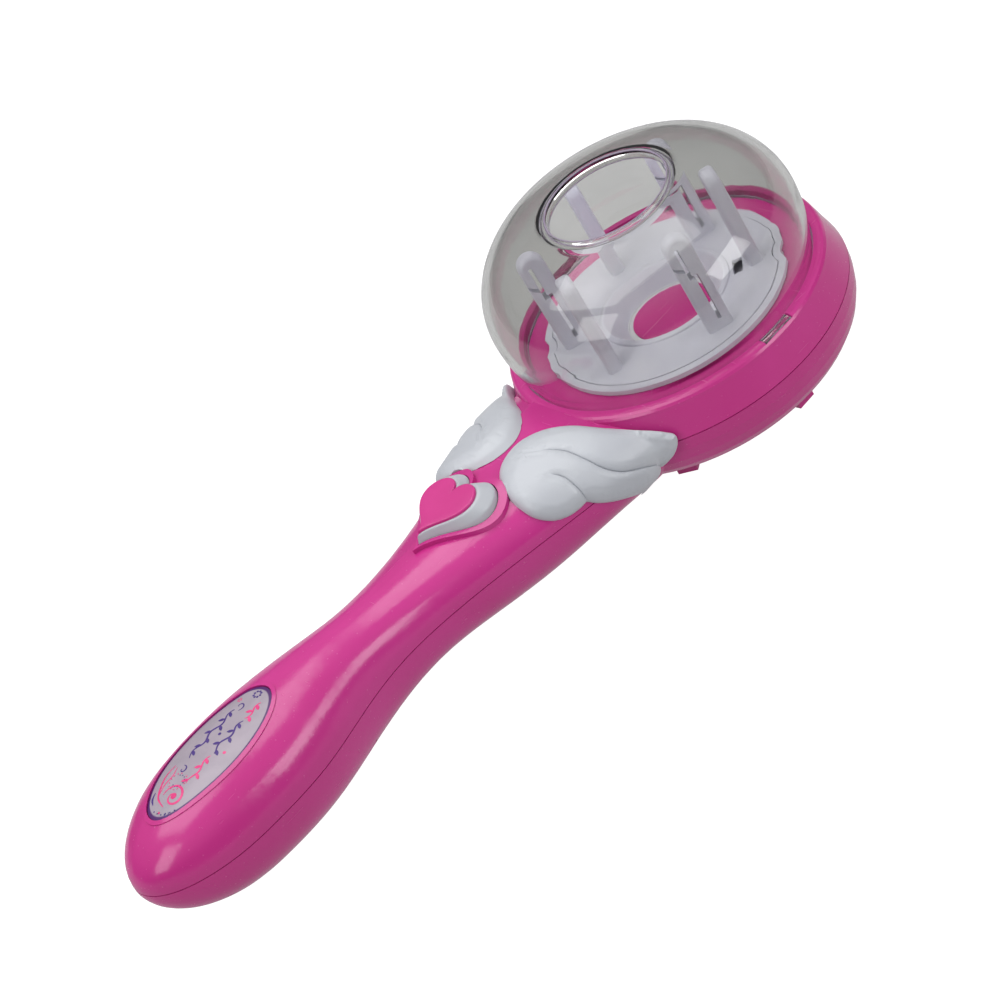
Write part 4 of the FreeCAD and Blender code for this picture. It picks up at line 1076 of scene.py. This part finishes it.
def make_stage():
    bm = bmesh.new()
    bmesh.ops.create_grid(bm, x_segments=8, y_segments=8, size=6.0)
    mesh = bpy.data.meshes.new("studio_floor")
    bm.to_mesh(mesh)
    bm.free()
    floor = bpy.data.objects.new("studio_floor", mesh)
    floor.location.z = cad_low.z - 0.0002
    bpy.context.scene.collection.objects.link(floor)
    finish = Finish("lit_paper_floor")
    finish.feed("Base Color", finish.group(colour_drift, Scale=3.0, Main=(0.2, 0.2, 0.205, 1),
                                           Drift=(0.18, 0.18, 0.185, 1)).outputs["Color"])
    finish.set(Roughness=0.9, Emission_Color=(1.0, 1.0, 1.0, 1.0))
    seen = finish.tree.nodes.new("ShaderNodeLightPath").outputs["Is Camera Ray"]
    finish.feed("Emission Strength",
                math_in(finish.tree, "MULTIPLY_ADD", seen, 1.0 - FLOOR_GLOW, FLOOR_GLOW))
    mesh.materials.append(finish.material)
    world = bpy.data.worlds.new("studio_air")
    world.use_nodes = True
    air = world.node_tree
    height = air.nodes.new("ShaderNodeSeparateXYZ")
    air.links.new(air.nodes.new("ShaderNodeTexCoord").outputs["Generated"], height.inputs["Vector"])
    share = ramp_in(air, height.outputs["Z"], 0.05, 0.85)
    shade = mix_in(air, share, (0.25, 0.25, 0.27, 1), (0.98, 0.98, 1.0, 1))
    air.links.new(shade, air.nodes["Background"].inputs["Color"])
    air.nodes["Background"].inputs["Strength"].default_value = 0.6
    bpy.context.scene.world = world
    middle = (0.0, 0.0, 0.03)
    softbox("top_box", (0.0, 0.25, 1.0), middle, 1.1, 0.8, 7.5)
    softbox("front_box", (0.55, -1.0, 0.55), middle, 0.7, 0.5, 5.0)
    softbox("left_box", (-0.95, -0.1, 0.7), middle, 0.5, 0.7, 3.5)


AZIMUTH, ELEVATION, ROLL = map(math.radians, (-25.35, 33.71, 31.68))
AIM_BEHIND_HEAD = 70.0
SLIDE_RIGHT, SLIDE_UP = -5.66, -1.14
CAMERA_DISTANCE = 1.6
LENS, SENSOR = 208.9, 36.0


def make_camera():
    back = Vector((math.sin(AZIMUTH) * math.cos(ELEVATION),
                   -math.cos(AZIMUTH) * math.cos(ELEVATION), math.sin(ELEVATION)))
    right = (-back).cross(Vector((0, 0, 1))).normalized()
    up = right.cross(-back)
    turned_right = right * math.cos(ROLL) - up * math.sin(ROLL)
    turned_up = right * math.sin(ROLL) + up * math.cos(ROLL)
    aimed_at = Vector((HEAD_X - AIM_BEHIND_HEAD * MM, 0, SEAM))
    place = (aimed_at + SLIDE_RIGHT * MM * turned_right + SLIDE_UP * MM * turned_up
             + CAMERA_DISTANCE * back)
    data = bpy.data.cameras.new("studio_camera")
    data.sensor_width = SENSOR
    data.lens = LENS
    data.clip_start, data.clip_end = 0.05, 30.0
    camera = bpy.data.objects.new("studio_camera", data)
    axes = Matrix((turned_right, turned_up, back)).transposed().to_4x4()
    camera.matrix_world = Matrix.Translation(place) @ axes
    bpy.context.scene.collection.objects.link(camera)
    bpy.context.scene.camera = camera


dress_carried_pieces()
make_dome()
make_dome_edges()
layout = wing_layout()
make_wing("wing_left_relief", "left_wing", 1, layout)
make_wing("wing_right_relief", "right_wing", -1, layout)
make_heart()
make_label_print()
make_stage()
make_camera()
bpy.context.scene.view_settings.view_transform = "Standard"
